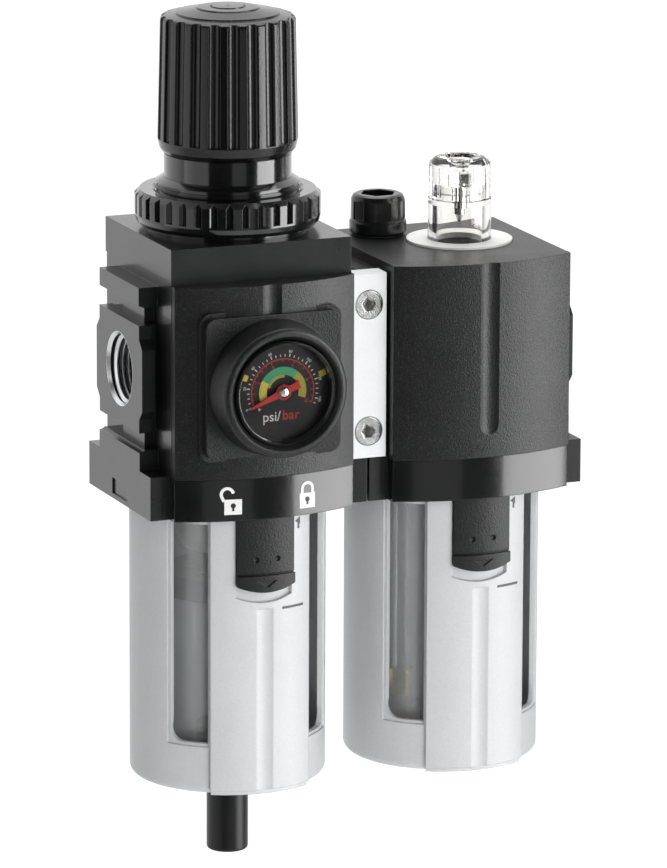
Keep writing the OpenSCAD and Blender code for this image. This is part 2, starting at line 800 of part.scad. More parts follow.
// Sight window on the +X side of the front, round at its lower outer corner
module window() {
    corner = 4;
    inner = pad_half_angle + 2;
    corner_angle = corner / guard_r * 180 / PI;
    sector(guard_r + 2, guard_in_r - 1, window_low_z + corner, window_top_z, inner, window_angle);
    sector(guard_r + 2, guard_in_r - 1, window_low_z, window_low_z + corner + 1,
        inner, window_angle - corner_angle);
    rotate([0, 0, window_angle - corner_angle]) translate([0, 0, window_low_z + corner])
        y_bar(corner, -guard_r - 2, -guard_in_r + 1);
    // Shallow rim around the window
    sector(guard_r + 1, guard_r - 0.5, window_low_z - 1, window_top_z + 0.9,
        inner - 0.5, window_angle + 2);
}

// Front outline with a gently curved lower end
module latch_outline(low, high) {
    end_r = 22;
    box([-20, -60, low + 2], [20, 0, high]);
    intersection() {
        translate([0, 0, low + end_r]) y_bar(end_r, -60, 0);
        box([-20, -60, low], [20, 0, low + 4]);
    }
}

module filter_guard() {
    color("#b9bec0") translate([fr_x, 0, 0]) guard(drain_r + 0.35);
}

// Thumb latch: grip plate with dimples, flared lip, tongue and tenon
module latch() {
    grip_r = guard_r + 2.7;
    lip_z = latch_low_z + 5.1;
    difference() {
        union() {
            intersection() {
                union() {
                    sector(grip_r, guard_r, latch_low_z - 1, latch_top_z,
                        -latch_half_angle, latch_half_angle);
                    sector(grip_r + 0.6, guard_r, latch_low_z - 1, lip_z,
                        -latch_half_angle, latch_half_angle);
                }
                latch_outline(latch_low_z, latch_top_z + 1);
            }
            sector(tongue_r + tongue_t, tongue_r, latch_top_z - 3, collar_z + 1.8, -9, 9);
            box([-tenon_half, -guard_r - 0.6, tenon_low_z], [tenon_half, -guard_in_r + 1.2, tenon_top_z]);
            sector(guard_in_r - 0.2, guard_in_r - 1.3, tenon_low_z, tenon_top_z, -15, 15);
        }
        for (a = [-6, 6], z = [latch_top_z - 5.8, latch_top_z - 12.8]) rotate([0, 0, a])
            translate([0, -grip_r - 0.3, z]) sphere(r = 0.95, $fn = 24);
        // Arrow that points the way the latch is pulled
        translate([0, -grip_r - 0.15, lip_z - 2.6]) rotate([90, 0, 0])
            linear_extrude(2) polygon([[-3, 1], [3, 1], [0, -1]]);
        sector(grip_r + 1, grip_r - 0.3, lip_z, lip_z + 0.5,
            -latch_half_angle - 1, latch_half_angle + 1);
    }
}

module filter_latch() {
    color("#1f2022") translate([fr_x, 0, 0]) latch();
}

module drain_body() {
    color("#2a2b2e") translate([fr_x, 0, 0]) difference() {
        union() {
            disc(9.5, bowl_low_z + bowl_wall, bowl_low_z + bowl_wall + 3);
            disc(drain_body_r, bowl_low_z - drain_nut_h, bowl_low_z + bowl_wall + 1);
        }
        disc(drain_stem_r + 0.2, bowl_low_z - 4, bowl_low_z + bowl_wall + 4);
        disc(4.6, bowl_low_z - 4, bowl_low_z);
    }
}

module drain_nut() {
    color("#2a2b2e") translate([fr_x, 0, 0]) difference() {
        translate([0, 0, bowl_low_z - drain_nut_h]) cylinder(r = 10, h = drain_nut_h, $fn = 6);
        disc(drain_body_r, bowl_low_z - 4, bowl_low_z + 1);
    }
}

module drain_tube() {
    color("#161719") translate([fr_x, 0, 0]) difference() {
        union() {
            disc(drain_r, drain_low_z + 1, guard_low_z - 0.8);
            // Slightly slimmer where it slides through the guard
            disc(drain_neck_r, guard_low_z - 1, drain_tube_top_z);
            disc(drain_r - 1, drain_low_z, drain_low_z + 2);
            rotate_extrude() translate([drain_r - 1, drain_low_z + 1]) circle(r = 1, $fn = 32);
        }
        disc(2.6, drain_low_z - 1, drain_tube_top_z - 3);
        disc(drain_stem_r, drain_tube_top_z - 4, drain_tube_top_z + 1);
    }
}

module drain_stem() {
    seal_z = bowl_low_z + bowl_wall + 3.05;
    color("#c9a958") translate([fr_x, 0, 0]) {
        disc(drain_stem_r, drain_tube_top_z - 3, seal_z + 0.5);
        disc(4.4, seal_z, seal_z + 2.4);
    }
}

module drain_spring() {
    color("#8d9094") translate([fr_x, 0, 0])
        coil(3.6, 0.45, drain_tube_top_z + 0.05, bowl_low_z - 0.1, 5);
}

// ---------- pressure gauge ----------

module at_gauge() {
    translate([fr_x, 0, gauge_z]) children();
}

module gauge_case() {
    color("#3a3b3d") at_gauge() difference() {
        union() {
            y_bar(gauge_r - 0.1, boss_y + 2.4, gauge_back_y - 0.1);
            y_bar(gauge_stem_r, gauge_back_y - 0.5, -depth_half + 8);
        }
        y_bar(gauge_r - 1.3, boss_y, gauge_back_y - 1.6);
        y_bar(1, gauge_back_y - 2, -depth_half + 9);
    }
}

module gauge_ring() {
    color("#0e0f10") at_gauge() rotate([90, 0, 0]) rotate_extrude($fn = 128) polygon([
        [gauge_r - 1.2, -boss_y - 2.4], [gauge_r - 0.1, -boss_y - 2.4], [gauge_r - 0.1, -boss_y - 0.8],
        [gauge_r - 0.5, -boss_y - 0.3], [gauge_r - 0.9, -boss_y - 0.3], [gauge_r - 1.2, -boss_y - 0.8]]);
}

module gauge_glass() {
    color("#e8eef2", 0.3) at_gauge() y_bar(gauge_r - 1.25, boss_y + 0.9, boss_y + 2.2);
}

module gauge_dial() {
    color("#0c0d0e") at_gauge() difference() {
        y_bar(gauge_r - 1.4, dial_y, dial_y + 0.6);
        y_bar(arbor_r + 0.1, dial_y - 1, dial_y + 1);
    }
}

// Needle: pointer, counterweight tail, hub and arbor
module gauge_needle() {
    y0 = dial_y - 1.0;
    y1 = dial_y - 0.6;
    color("#c9352c") at_gauge() {
        rotate([0, 180 - needle_zero_angle, 0]) mirror([1, 0, 0]) translate([0, y1, 0]) rotate([90, 0, 0])
            linear_extrude(y1 - y0) polygon([[11, -0.3], [11.5, 0], [11, 0.3], [0, 1.2], [-3.2, 1.0],
                [-5.4, 1.3], [-5.4, -1.3], [-3.2, -1.0], [0, -1.2]]);
        y_bar(2.3, y0 - 0.1, y1);
        y_bar(1.7, dial_y - 1.4, y0);
    }
}

// Arbor and pinion behind the dial
module gauge_pinion() {
    teeth = 10;
    color("#c9a958") at_gauge() {
        y_bar(arbor_r, dial_y - 0.6, dial_y + 6);
        y_bar(pinion_r - 0.35, dial_y + 2, dial_y + 4);
        for (i = [0:teeth - 1]) rotate([0, 360 * i / teeth, 0])
            box([0, dial_y + 2, -0.12], [pinion_r - 0.05, dial_y + 4, 0.12]);
    }
}

// Toothed sector on its own pivot above the pinion
module gauge_sector() {
    tooth_step = 4;
    y0 = dial_y + 2.4;
    y1 = dial_y + 3.6;
    // At rest the needle is at zero, so the sector hangs half its sweep to one side
    color("#c9a958") translate([fr_x, 0, gauge_z + sector_pivot]) rotate([0, sector_sweep / 2, 0]) {
        y_bar(pivot_r, dial_y + 1.2, dial_y + 6);
        box([-1.2, y0, -sector_r + 1], [1.2, y1, 0]);
        difference() {
            intersection() {
                y_bar(sector_r - fit, y0, y1);
                box([-5, y0 - 1, -sector_r - 1], [5, y1 + 1, -sector_r + 2.6]);
            }
            for (a = [-6 * tooth_step:tooth_step:6 * tooth_step]) rotate([0, a, 0])
                box([-0.15, y0 - 1, -sector_r - 1], [0.15, y1 + 1, -sector_r + 0.45]);
        }
    }
}

// Frame plates that carry the arbor and the sector's pivot
module gauge_movement() {
    color("#bfa35a") at_gauge() difference() {
        union() {
            intersection() {
                y_bar(gauge_r - 1.6, dial_y + 5, dial_y + 6.2);
                box([-5, dial_y + 4, -5], [5, dial_y + 7, 14]);
            }
            box([-3, dial_y + 6, -3], [3, gauge_back_y - 1.6, 3]);
        }
        y_bar(arbor_r + fit, dial_y + 4, dial_y + 6.1);
        translate([0, 0, sector_pivot]) y_bar(pivot_r + fit, dial_y + 4, dial_y + 7);
    }
}

module bourdon_tube() {
    color("#b8864a") at_gauge() translate([0, dial_y + 8.6, 0]) rotate([90, 0, 0]) rotate([0, 0, 150])
        rotate_extrude(angle = 250) translate([10.6, 0]) square([1.4, 2.6]);
}

// Two adjustable limit markers between the dial and the glass
module gauge_markers() {
    color("#d9b53a") at_gauge() for (a = [157, 21]) rotate([0, -a, 0])
        box([gauge_r - 3.6, dial_y - 0.5, -0.9], [gauge_r - 1.5, dial_y - 0.1, 0.9]);
}

// ---------- lubricator ----------

module lub_body() {
    color("#232426") translate([lub_x, 0, 0]) difference() {
        casting(lub_top_z);
        side_cuts();
        mirror([1, 0, 0]) side_cuts();
        port(-1);
        port(1);
        x_bar(flow_bore_r, -port_reach + port_depth - 1, port_reach - port_depth + 1);
        bowl_socket();
        // Recess for the white ring and bore for the sight dome
        translate([dome_x, 0, 0]) {
            disc(ring_r + 0.15, lub_top_z - 1, lub_top_z + 1);
            disc(dome_r - 1.5, lub_top_z - 8, lub_top_z);
            disc(drip_hole_r, 5, lub_top_z - 7);
        }
        // Oil passage up from the siphon tube and over to the dome
        translate([siphon_x, siphon_y, 0]) disc(siphon_r + fit, seal_top_z - 1, seal_top_z + 9);
        translate([siphon_x, siphon_y, 0]) disc(1.4, seal_top_z + 8, lub_top_z - 6);
        translate([siphon_x, siphon_y, lub_top_z - 6.5]) rotate([0, 0, -42]) x_bar(1.3, -1, 13);
        // Fill hole
        translate([plug_x, plug_y, 0]) disc(fill_hole_r, 14, lub_top_z + 1);
        translate([plug_x + 1, plug_y - 1.5, 0]) disc(3, seal_top_z - 1, 15);
        cover_pegs(2, 6);
        latch_groove();
        for (s = [-1, 1]) box([s * port_reach - 0.5, -6.1, -39], [s * port_reach + 0.5, 6.1, -34.2]);
    }
}

module lub_front_cover() {
    color("#26272a") translate([lub_x, 0, 0]) {
        difference() {
            bulge(body_half + 0.1, depth_half, cover_end, cover_mid, collar_top_z + 0.15, lub_top_z);
            cover_flute(-18, lub_top_z + 1);
        }
        cover_pegs(1.9, 5);
    }
}

module lub_collar_cover() {
    color("#141517") translate([lub_x, 0, 0]) collar_cover();
}

module at_dome() {
    translate([lub_x + dome_x, 0, 0]) children();
}

module dome_ring() {
    color("#f2f2ee") at_dome() ring(ring_r, dome_r + 0.1, lub_top_z - 1, ring_top_z);
}

// Clear sight dome: hollow, with a spigot in the body and a neck for the knob
module sight_dome() {
    color("#e9eef0", 0.35) at_dome() difference() {
        union() {
            disc(dome_r - 1.55, lub_top_z - 6, lub_top_z);
            disc(dome_r, lub_top_z - 1, dome_joint_z);
            disc(dome_r - 3, dome_joint_z - 1, dome_joint_z + 4);
        }
        disc(dome_r - 2.6, lub_top_z - 3, dome_joint_z - 2);
        disc(needle_r + fit, lub_top_z - 7, dome_joint_z + 5);
    }
}

module drip_knob() {
    r = dome_r - 0.25;
    flutes = 12;
    color("#e9eef0", 0.35) at_dome() difference() {
        rotate_extrude() polygon([[0, dome_joint_z + 0.3], [r, dome_joint_z + 0.3], [r, dome_top_z - 1.8],
            [r - 1.7, dome_top_z - 0.3], [r - 2.6, dome_top_z], [0, dome_top_z]]);
        disc(dome_r - 3 + clear, dome_joint_z, dome_joint_z + 4.4);
        translate([0, 0, dome_joint_z + 4]) linear_extrude(4.4) square(3.3, center = true);
        disc(4.4, dome_top_z - 2.4, dome_top_z + 1);
        for (i = [0:flutes - 1]) rotate([0, 0, 360 * i / flutes]) translate([r + 0.7, 0, 0])
            disc(1.1, dome_joint_z, dome_top_z - 2.6);
    }
}

// Metering needle: square drive, threaded shank and drip tip
module drip_needle() {
    color("#b9bcc0") at_dome() {
        translate([0, 0, dome_joint_z + 4.6]) linear_extrude(3) square(3, center = true);
        disc(needle_r, dome_joint_z - 5, dome_joint_z + 4.7);
        translate([0, 0, dome_joint_z - 7.5]) cylinder(r1 = 0.5, r2 = 1.2, h = 2.6);
    }
}

module fill_plug() {
    top = lub_top_z + 12.4;
    color("#161718") translate([lub_x + plug_x, plug_y, 0]) difference() {
        union() {
            rotate_extrude() polygon([[0, lub_top_z + 0.5], [plug_r - 0.5, lub_top_z + 0.5],
                [plug_r, lub_top_z + 1.1], [plug_r, lub_top_z + 4], [plug_r - 0.4, lub_top_z + 4.6],
                [plug_r - 0.5, top - 1.6], [plug_r - 1.1, top - 0.4], [plug_r - 2, top], [0, top]]);
            disc(fill_hole_r - fit, lub_top_z - 12, lub_top_z + 1);
        }
        translate([0, 0, top - 7]) cylinder(r = 5.5, h = 8, $fn = 6);
        disc(3.5, lub_top_z - 13, lub_top_z - 2);
        // Grip notches
        for (a = [20:60:320]) rotate([0, 0, a]) translate([plug_r + 0.1, 0, 0])
            box([-1.1, -2.2, lub_top_z + 5], [1, 2.2, top - 1.9]);
    }
}

module fill_plug_oring() {
    color("#222222") translate([lub_x + plug_x, plug_y, 0])
        rotate_extrude() translate([6.9, lub_top_z + 0.25]) square([1.2, 0.5], center = true);
}

// Flow guide: bore insert with a throat and a flexible vane seat
module flow_guide() {
    guide_half = 13;
    throat_half = 5;
    throat_r = 4;
    color("#d7d2c4") translate([lub_x, 0, 0]) difference() {
        x_bar(flow_bore_r - fit, -guide_half, guide_half);
        x_bar(throat_r, -guide_half - 1, guide_half + 1);
        x_bar(flow_bore_r - 1.7, -guide_half - 1, -throat_half);
        x_bar(flow_bore_r - 1.7, throat_half, guide_half + 1);
        translate([dome_x, 0, 0]) disc(drip_hole_r, 2, 12);
    }
}

module siphon_tube() {
    color("#dfe3e4", 0.6) translate([lub_x + siphon_x, siphon_y, 0]) difference() {
        ring(siphon_r, siphon_bore_r, siphon_low_z, seal_top_z + 8);
        disc(1.9, seal_top_z - 6, seal_top_z - 2.2);
    }
}

module siphon_strainer() {
    color("#c9a958") translate([lub_x + siphon_x, siphon_y, 0]) difference() {
        disc(3.8, siphon_low_z - 5, siphon_low_z + 3);
        disc(siphon_r, siphon_low_z, siphon_low_z + 4);
        disc(siphon_bore_r, siphon_low_z - 3.5, siphon_low_z + 1);
    }
}

module check_ball() {
    color("#c8cbce") translate([lub_x + siphon_x, siphon_y, seal_top_z - 5.35]) sphere(r = 1.6, $fn = 48);
}

module lub_bowl() {
    color("#dfe6ea", 0.4) translate([lub_x, 0, 0]) bowl(0);
}

module lub_bowl_oring() {
    color("#222222") translate([lub_x, 0, 0]) bowl_oring();
}

module lub_guard() {
    color("#b9bec0") translate([lub_x, 0, 0]) guard(2);
}

module lub_latch() {
    color("#1f2022") translate([lub_x, 0, 0]) latch();
}

// ---------- clamp ----------

// Bar with two lips that hook behind the port plates' edges
module clamp_bar() {
    half_w = 5.5;
    back = 19.4;
    lip = 1;
    box([-half_w, -clamp_front_y, collar_top_z + 0.8], [half_w, -back, 28.4]);
    for (s = [-1, 1]) box([s > 0 ? half_w - lip : -half_w, -back - e, -15.8],
        [s > 0 ? half_w : -half_w + lip, -15.2, 15.8]);
}

module clamp_front() {
    color("#c9cdd0") translate([clamp_x, 0, 0]) difference() {
        clamp_bar();
        for (s = [-1, 1]) translate([0, 0, s * clamp_screw_z]) {
            y_bar(clamp_screw_r + 0.1, -40, 0);
            y_bar(screw_head_r + 0.25, -40, -clamp_front_y + 5);
        }
    }
}

module clamp_rear() {
    color("#c9cdd0") translate([clamp_x, 0, 0]) difference() {
        mirror([0, 1, 0]) clamp_bar();
        for (s = [-1, 1]) translate([0, 0, s * clamp_screw_z]) y_bar(clamp_screw_r, 0, 40);
    }
}

module clamp_screws() {
    color("#d8dadc") for (s = [-1, 1]) translate([clamp_x, 0, s * clamp_screw_z]) difference() {
        union() {
            y_bar(screw_head_r, -clamp_front_y + 0.1, -clamp_front_y + 5);
            y_bar(clamp_screw_r, -clamp_front_y + 4, clamp_front_y - 1);
        }
        translate([0, -clamp_front_y - 0.5, 0]) rotate([-90, 0, 0]) cylinder(r = 2.3, h = 3.2, $fn = 6);
    }
}

module module_gasket() {
    color("#2b2b2b") translate([fr_x + port_reach + 0.01, 0, 0]) difference() {
        x_bar(14.5, 0, gasket_t - 0.02);
        x_bar(port_d / 2 + 0.8, -1, gasket_t + 1);
    }
}

fr_body();
fr_front_cover();
fr_collar_cover();
bonnet();
panel_nut();
adjusting_screw();
adjusting_knob();
knob_cap();
spring_nut();
range_spring();
diaphragm();
diaphragm_plate();
valve_seat();
valve_stem();
valve_poppet();
valve_spring();
valve_retainer();
deflector();
filter_element();
element_baffle();
filter_bowl();
filter_bowl_oring();
filter_guard();
filter_latch();
drain_body();
drain_nut();
drain_tube();
drain_stem();
drain_spring();
gauge_case();
gauge_ring();
gauge_glass();
gauge_dial();
gauge_needle();
gauge_pinion();
gauge_sector();
gauge_movement();
bourdon_tube();
gauge_markers();
lub_body();
lub_front_cover();
lub_collar_cover();
dome_ring();
sight_dome();
drip_knob();
drip_needle();
fill_plug();
fill_plug_oring();
flow_guide();
siphon_tube();
siphon_strainer();
check_ball();
lub_bowl();
lub_bowl_oring();
lub_guard();
lub_latch();
clamp_front();
clamp_rear();
clamp_screws();
module_gasket();
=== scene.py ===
"""Finishes, printed marks and fine fittings of a filter regulator clamped to a lubricator.

Every length in the settings is in millimetres and becomes metres in the meshes. The castings'
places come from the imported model, so a changed size moves the marks and fittings with it.
"""

import math

import bmesh
import bpy
from bpy.props import FloatProperty, FloatVectorProperty, IntProperty, PointerProperty
from bpy.types import Operator, Panel, PropertyGroup
from mathutils import Matrix, Vector
from mathutils.bvhtree import BVHTree


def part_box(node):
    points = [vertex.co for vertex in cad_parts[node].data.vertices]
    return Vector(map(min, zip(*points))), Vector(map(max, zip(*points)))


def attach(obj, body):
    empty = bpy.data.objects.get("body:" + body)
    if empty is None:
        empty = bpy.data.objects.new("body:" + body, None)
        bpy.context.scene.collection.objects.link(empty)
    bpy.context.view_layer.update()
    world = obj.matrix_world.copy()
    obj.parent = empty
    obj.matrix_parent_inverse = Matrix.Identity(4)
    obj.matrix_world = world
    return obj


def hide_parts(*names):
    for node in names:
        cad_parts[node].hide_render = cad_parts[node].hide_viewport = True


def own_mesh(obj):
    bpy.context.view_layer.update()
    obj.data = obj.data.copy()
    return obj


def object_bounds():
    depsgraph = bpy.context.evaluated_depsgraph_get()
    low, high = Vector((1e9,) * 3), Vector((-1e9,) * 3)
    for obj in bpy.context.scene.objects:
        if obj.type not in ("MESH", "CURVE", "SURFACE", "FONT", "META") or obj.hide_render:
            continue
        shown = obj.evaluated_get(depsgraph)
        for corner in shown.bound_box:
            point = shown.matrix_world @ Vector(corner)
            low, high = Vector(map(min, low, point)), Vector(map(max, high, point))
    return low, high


bl_info = {
    "name": "Filter Regulator Lubricator",
    "version": (1, 0, 0),
    "blender": (4, 5, 0),
    "location": "View3D > Sidebar > Air Service Unit",
    "description": "Adds finishes, a gauge face, marks and threads to the packed unit",
    "category": "Object",
}

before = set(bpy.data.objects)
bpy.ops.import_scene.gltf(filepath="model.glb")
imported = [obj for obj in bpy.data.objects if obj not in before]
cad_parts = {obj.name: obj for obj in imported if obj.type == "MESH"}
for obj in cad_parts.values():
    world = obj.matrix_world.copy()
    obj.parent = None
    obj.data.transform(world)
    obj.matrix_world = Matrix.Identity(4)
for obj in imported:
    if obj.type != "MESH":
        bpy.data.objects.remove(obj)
CAD_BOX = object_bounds()
MM = 0.001
FULL_TURN = 2 * math.pi
AIM_POINT = (0.068344, 0, -0.025608)


# ---------- where things are ----------


def middle(node):
    """Centre of a CAD node's box."""
    low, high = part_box(node)
    return (low + high) / 2


REGULATOR = middle("bonnet")
REGULATOR.z = 0
LUBRICATOR = middle("lub_bowl")
LUBRICATOR.z = 0
DOME = middle("sight_dome")
GAUGE = middle("gauge_dial")
DIAL_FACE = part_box("gauge_dial")[0].y
COLLAR_LOW, COLLAR_HIGH = (corner.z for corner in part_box("fr_collar_cover"))


# ---------- shader arithmetic ----------


class Value:
    """A shader socket that can be written in arithmetic."""

    def __init__(self, finish, socket):
        self.finish = finish
        self.socket = socket

    def math(self, operation, *values):
        return self.finish.node("ShaderNodeMath", {"operation": operation}, dict(enumerate(values))).out()

    def __add__(self, other):
        return self.math("ADD", self, other)

    __radd__ = __add__

    def __sub__(self, other):
        return self.math("SUBTRACT", self, other)

    def __rsub__(self, other):
        return self.math("SUBTRACT", other, self)

    def __mul__(self, other):
        return self.math("MULTIPLY", self, other)

    __rmul__ = __mul__

    def smooth(self, low, high):
        """0 below low, 1 above high, and a soft step between."""
        settings = {"interpolation_type": "SMOOTHSTEP"}
        sockets = {"Value": self, "From Min": low, "From Max": high}
        return self.finish.node("ShaderNodeMapRange", settings, sockets).out()


class Built:
    """A shader node with its outputs as values."""

    def __init__(self, finish, node):
        self.finish = finish
        self.node = node

    def out(self, name=0):
        return Value(self.finish, self.node.outputs[name])


class Finish:
    """One procedural material."""

    def __init__(self, name, **constants):
        self.material = bpy.data.materials.new(name)
        self.material.use_nodes = True
        self.tree = self.material.node_tree
        self.tree.nodes.clear()
        self.shader = self.node("ShaderNodeBsdfPrincipled", None, constants)
        output = self.node("ShaderNodeOutputMaterial")
        self.tree.links.new(self.shader.node.outputs[0], output.node.inputs["Surface"])
        self.place = self.node("ShaderNodeTexCoord").out("Object")

    def node(self, kind, settings=None, sockets=None):
        made = self.tree.nodes.new(kind)
        for key, value in (settings or {}).items():
            setattr(made, key, value)
        for key, value in (sockets or {}).items():
            self.feed(made.inputs[key], value)
        return Built(self, made)

    def feed(self, socket, value):
        if isinstance(value, Value):
            self.tree.links.new(value.socket, socket)
        else:
            socket.default_value = value

    def set(self, name, value):
        self.feed(self.shader.node.inputs[name], value)

    def noise(self, size_mm, detail=2.0, roughness=0.5, stretch=(1, 1, 1)):
        """Noise whose lumps are about size_mm across."""
        scale = {"Vector": self.place, "Scale": stretch}
        spot = self.node("ShaderNodeMapping", None, scale).out()
        sockets = {"Vector": spot, "Scale": 1 / (size_mm * MM), "Detail": detail, "Roughness": roughness}
        return self.node("ShaderNodeTexNoise", None, sockets).out("Fac")

    def cells(self, size_mm, output="Distance"):
        sockets = {"Vector": self.place, "Scale": 1 / (size_mm * MM)}
        return self.node("ShaderNodeTexVoronoi", None, sockets).out(output)

    def blend(self, factor, first, second):
        """Colour mix of two colours or colour sockets."""
        return self.node("ShaderNodeMix", {"data_type": "RGBA"}, {0: factor, 6: first, 7: second}).out(2)

    def round_edges(self, radius_mm):
        return self.node("ShaderNodeBevel", {"samples": 4}, {"Radius": radius_mm * MM}).out()

    def bump(self, height, depth_mm, strength=1.0, normal=None):
        sockets = {"Height": height, "Distance": depth_mm * MM, "Strength": strength}
        if normal is not None:
            sockets["Normal"] = normal
        return self.node("ShaderNodeBump", None, sockets).out()


def opaque(colour):
    return (*colour, 1)


def scaled(colour, factor):
    return tuple(min(1.0, part * factor) for part in colour)


# ---------- settings ----------


class FRL_PG_finishes(PropertyGroup):
    """Colours of the finishes."""

    body_black: FloatVectorProperty(
        name="Body Black",
        description="Enamel on the two castings",
        subtype="COLOR",
        size=3,
        default=(0.0062, 0.0065, 0.0068),
        min=0,
        max=1,
    )
    moulding_black: FloatVectorProperty(
        name="Moulding Black",
        description="Textured plastic of the front covers and latches",
        subtype="COLOR",
        size=3,
        default=(0.0048, 0.0050, 0.0053),
        min=0,
        max=1,
    )
    guard_silver: FloatVectorProperty(
        name="Guard Silver",
        description="Metallic paint on the bowl guards",
        subtype="COLOR",
        size=3,
        default=(0.58, 0.592, 0.597),
        min=0,
        max=1,
    )
    clamp_white: FloatVectorProperty(
        name="Clamp Grey",
        description="Pale paint on the clamp that joins the modules",
        subtype="COLOR",
        size=3,
        default=(0.86, 0.875, 0.88),
        min=0,
        max=1,
    )
    edge_radius: FloatProperty(
        name="Edge Radius",
        description="Softness of the moulded and cast edges, in millimetres",
        default=0.35,
        min=0,
        max=2,
    )


class FRL_PG_dial(PropertyGroup):
    """Sizes and colours of the gauge face."""

    zero_angle: FloatProperty(
        name="Zero Angle",
        description="Direction of the zero mark, anticlockwise from the right",
        default=math.radians(202.5),
        unit="ROTATION",
    )
    sweep: FloatProperty(
        name="Sweep",
        description="Turn from zero to full scale",
        default=math.radians(225),
        unit="ROTATION",
    )
    full_bar: IntProperty(name="Full Scale", description="Last mark on the inner scale", default=10, min=4, max=16)
    psi_per_bar: FloatProperty(
        name="Outer Units per Inner Unit",
        description="Ratio between the two scales",
        default=14.5,
        min=1,
        max=100,
    )
    outer_radius: FloatProperty(
        name="Outer Scale Radius",
        description="Inner end of the outer scale's ticks, in millimetres",
        default=10.4,
        min=5,
        max=14,
    )
    inner_radius: FloatProperty(
        name="Inner Scale Radius",
        description="Radius of the inner scale's line, in millimetres",
        default=9.75,
        min=4,
        max=12,
    )
    zone_outer: FloatProperty(
        name="Zone Outer Radius",
        description="Outer radius of the coloured zones, in millimetres",
        default=7.4,
        min=3,
        max=9,
    )
    zone_inner: FloatProperty(
        name="Zone Inner Radius",
        description="Inner radius of the coloured zones, in millimetres",
        default=5.0,
        min=2,
        max=8,
    )
    white: FloatVectorProperty(
        name="White", description="Outer scale", subtype="COLOR", size=3, default=(0.85, 0.85, 0.83), min=0, max=1
    )
    red: FloatVectorProperty(
        name="Red", description="Inner scale", subtype="COLOR", size=3, default=(0.62, 0.035, 0.025), min=0, max=1
    )
    green: FloatVectorProperty(
        name="Green", description="Working zone", subtype="COLOR", size=3, default=(0.06, 0.42, 0.19), min=0, max=1
    )
    yellow: FloatVectorProperty(
        name="Yellow", description="Low zone", subtype="COLOR", size=3, default=(0.76, 0.60, 0.09), min=0, max=1
    )
    olive: FloatVectorProperty(
        name="Olive", description="High zone", subtype="COLOR", size=3, default=(0.50, 0.40, 0.05), min=0, max=1
    )


class FRL_PG_stage(PropertyGroup):
    """Camera, floor and studio light."""

    azimuth: FloatProperty(
        name="Azimuth",
        description="How far the camera stands to the left of the front",
        default=math.radians(22.377),
        unit="ROTATION",
    )
    pitch: FloatProperty(
        name="Pitch", description="How far the camera looks down", default=math.radians(13.195), unit="ROTATION"
    )
    roll: FloatProperty(
        name="Roll", description="Turn about the line of sight", default=math.radians(0.241), unit="ROTATION"
    )
    distance: FloatProperty(
        name="Distance", description="Camera to target", default=2.082, unit="LENGTH", min=0.5, max=10
    )
    lens: FloatProperty(
        name="Lens", description="Focal length", default=288.79, unit="CAMERA", min=20, max=600
    )
    key_shine: FloatProperty(
        name="Key Shine", description="Radiance mirrored from the softbox at the right", default=7.5, min=0, max=50
    )
    key_wash: FloatProperty(
        name="Key Wash", description="Radiance the same softbox spreads on matt faces", default=1.9, min=0, max=50
    )
    fill_shine: FloatProperty(
        name="Fill Shine", description="Radiance mirrored from the softbox at the left", default=0.9, min=0, max=50
    )
    fill_wash: FloatProperty(
        name="Fill Wash", description="Radiance the same softbox spreads on matt faces", default=0.4, min=0, max=50
    )
    front_shine: FloatProperty(
        name="Front Shine", description="Radiance mirrored from the dim front panel", default=0.4, min=0, max=50
    )
    front_wash: FloatProperty(
        name="Front Wash", description="Radiance of the broad even light from the front", default=4.0, min=0, max=50
    )
    top_shine: FloatProperty(
        name="Top Shine", description="Radiance mirrored from the softbox above", default=2.7, min=0, max=50
    )
    top_wash: FloatProperty(
        name="Top Wash", description="Radiance the same softbox spreads on matt faces", default=5.5, min=0, max=50
    )
    back_glow: FloatProperty(
        name="Back Glow", description="Brightness of the white cloth behind", default=1.1, min=0, max=10
    )
    front_glow: FloatProperty(
        name="Front Glow", description="Brightness of the open front of the tent", default=0.02, min=0, max=10
    )
    floor_radius: FloatProperty(
        name="Floor Radius", description="Radius of the pale round table", default=0.9, unit="LENGTH", min=0.2, max=10
    )
    floor_drop: FloatProperty(
        name="Floor Drop", description="Clear height under the held unit", default=0.35, unit="LENGTH", min=0, max=2
    )


class FRL_PG_settings(PropertyGroup):
    """All settings of the unit."""

    finishes: PointerProperty(type=FRL_PG_finishes)
    dial: PointerProperty(type=FRL_PG_dial)
    stage: PointerProperty(type=FRL_PG_stage)


# ---------- pieces ----------


def piece_from(bm, name, body, material, smooth_angle=None):
    """Turns a bmesh into a piece that rides on a CAD body."""
    bmesh.ops.recalc_face_normals(bm, faces=bm.faces)
    mesh = bpy.data.meshes.new(name)
    bm.to_mesh(mesh)
    bm.free()
    made = bpy.data.objects.new(name, mesh)
    bpy.context.scene.collection.objects.link(made)
    mesh.materials.append(material)
    if smooth_angle is not None:
        for face in mesh.polygons:
            face.use_smooth = True
        mesh.set_sharp_from_angle(angle=math.radians(smooth_angle))
    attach(made, body)
    return made


def snap_to_face(bm, node, lift_mm):
    """Lays flat marks, drawn on the XZ plane with their thickness along -Y, on a front face of a node."""
    tree = BVHTree.FromObject(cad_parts[node], bpy.context.evaluated_depsgraph_get())
    start = CAD_BOX[0][1] - 0.01
    for vert in bm.verts:
        hit = tree.ray_cast(Vector((vert.co.x, start, vert.co.z)), Vector((0, 1, 0)))[0]
        if hit is None:
            raise RuntimeError("a mark lies off " + node)
        vert.co.y += hit.y - lift_mm * MM


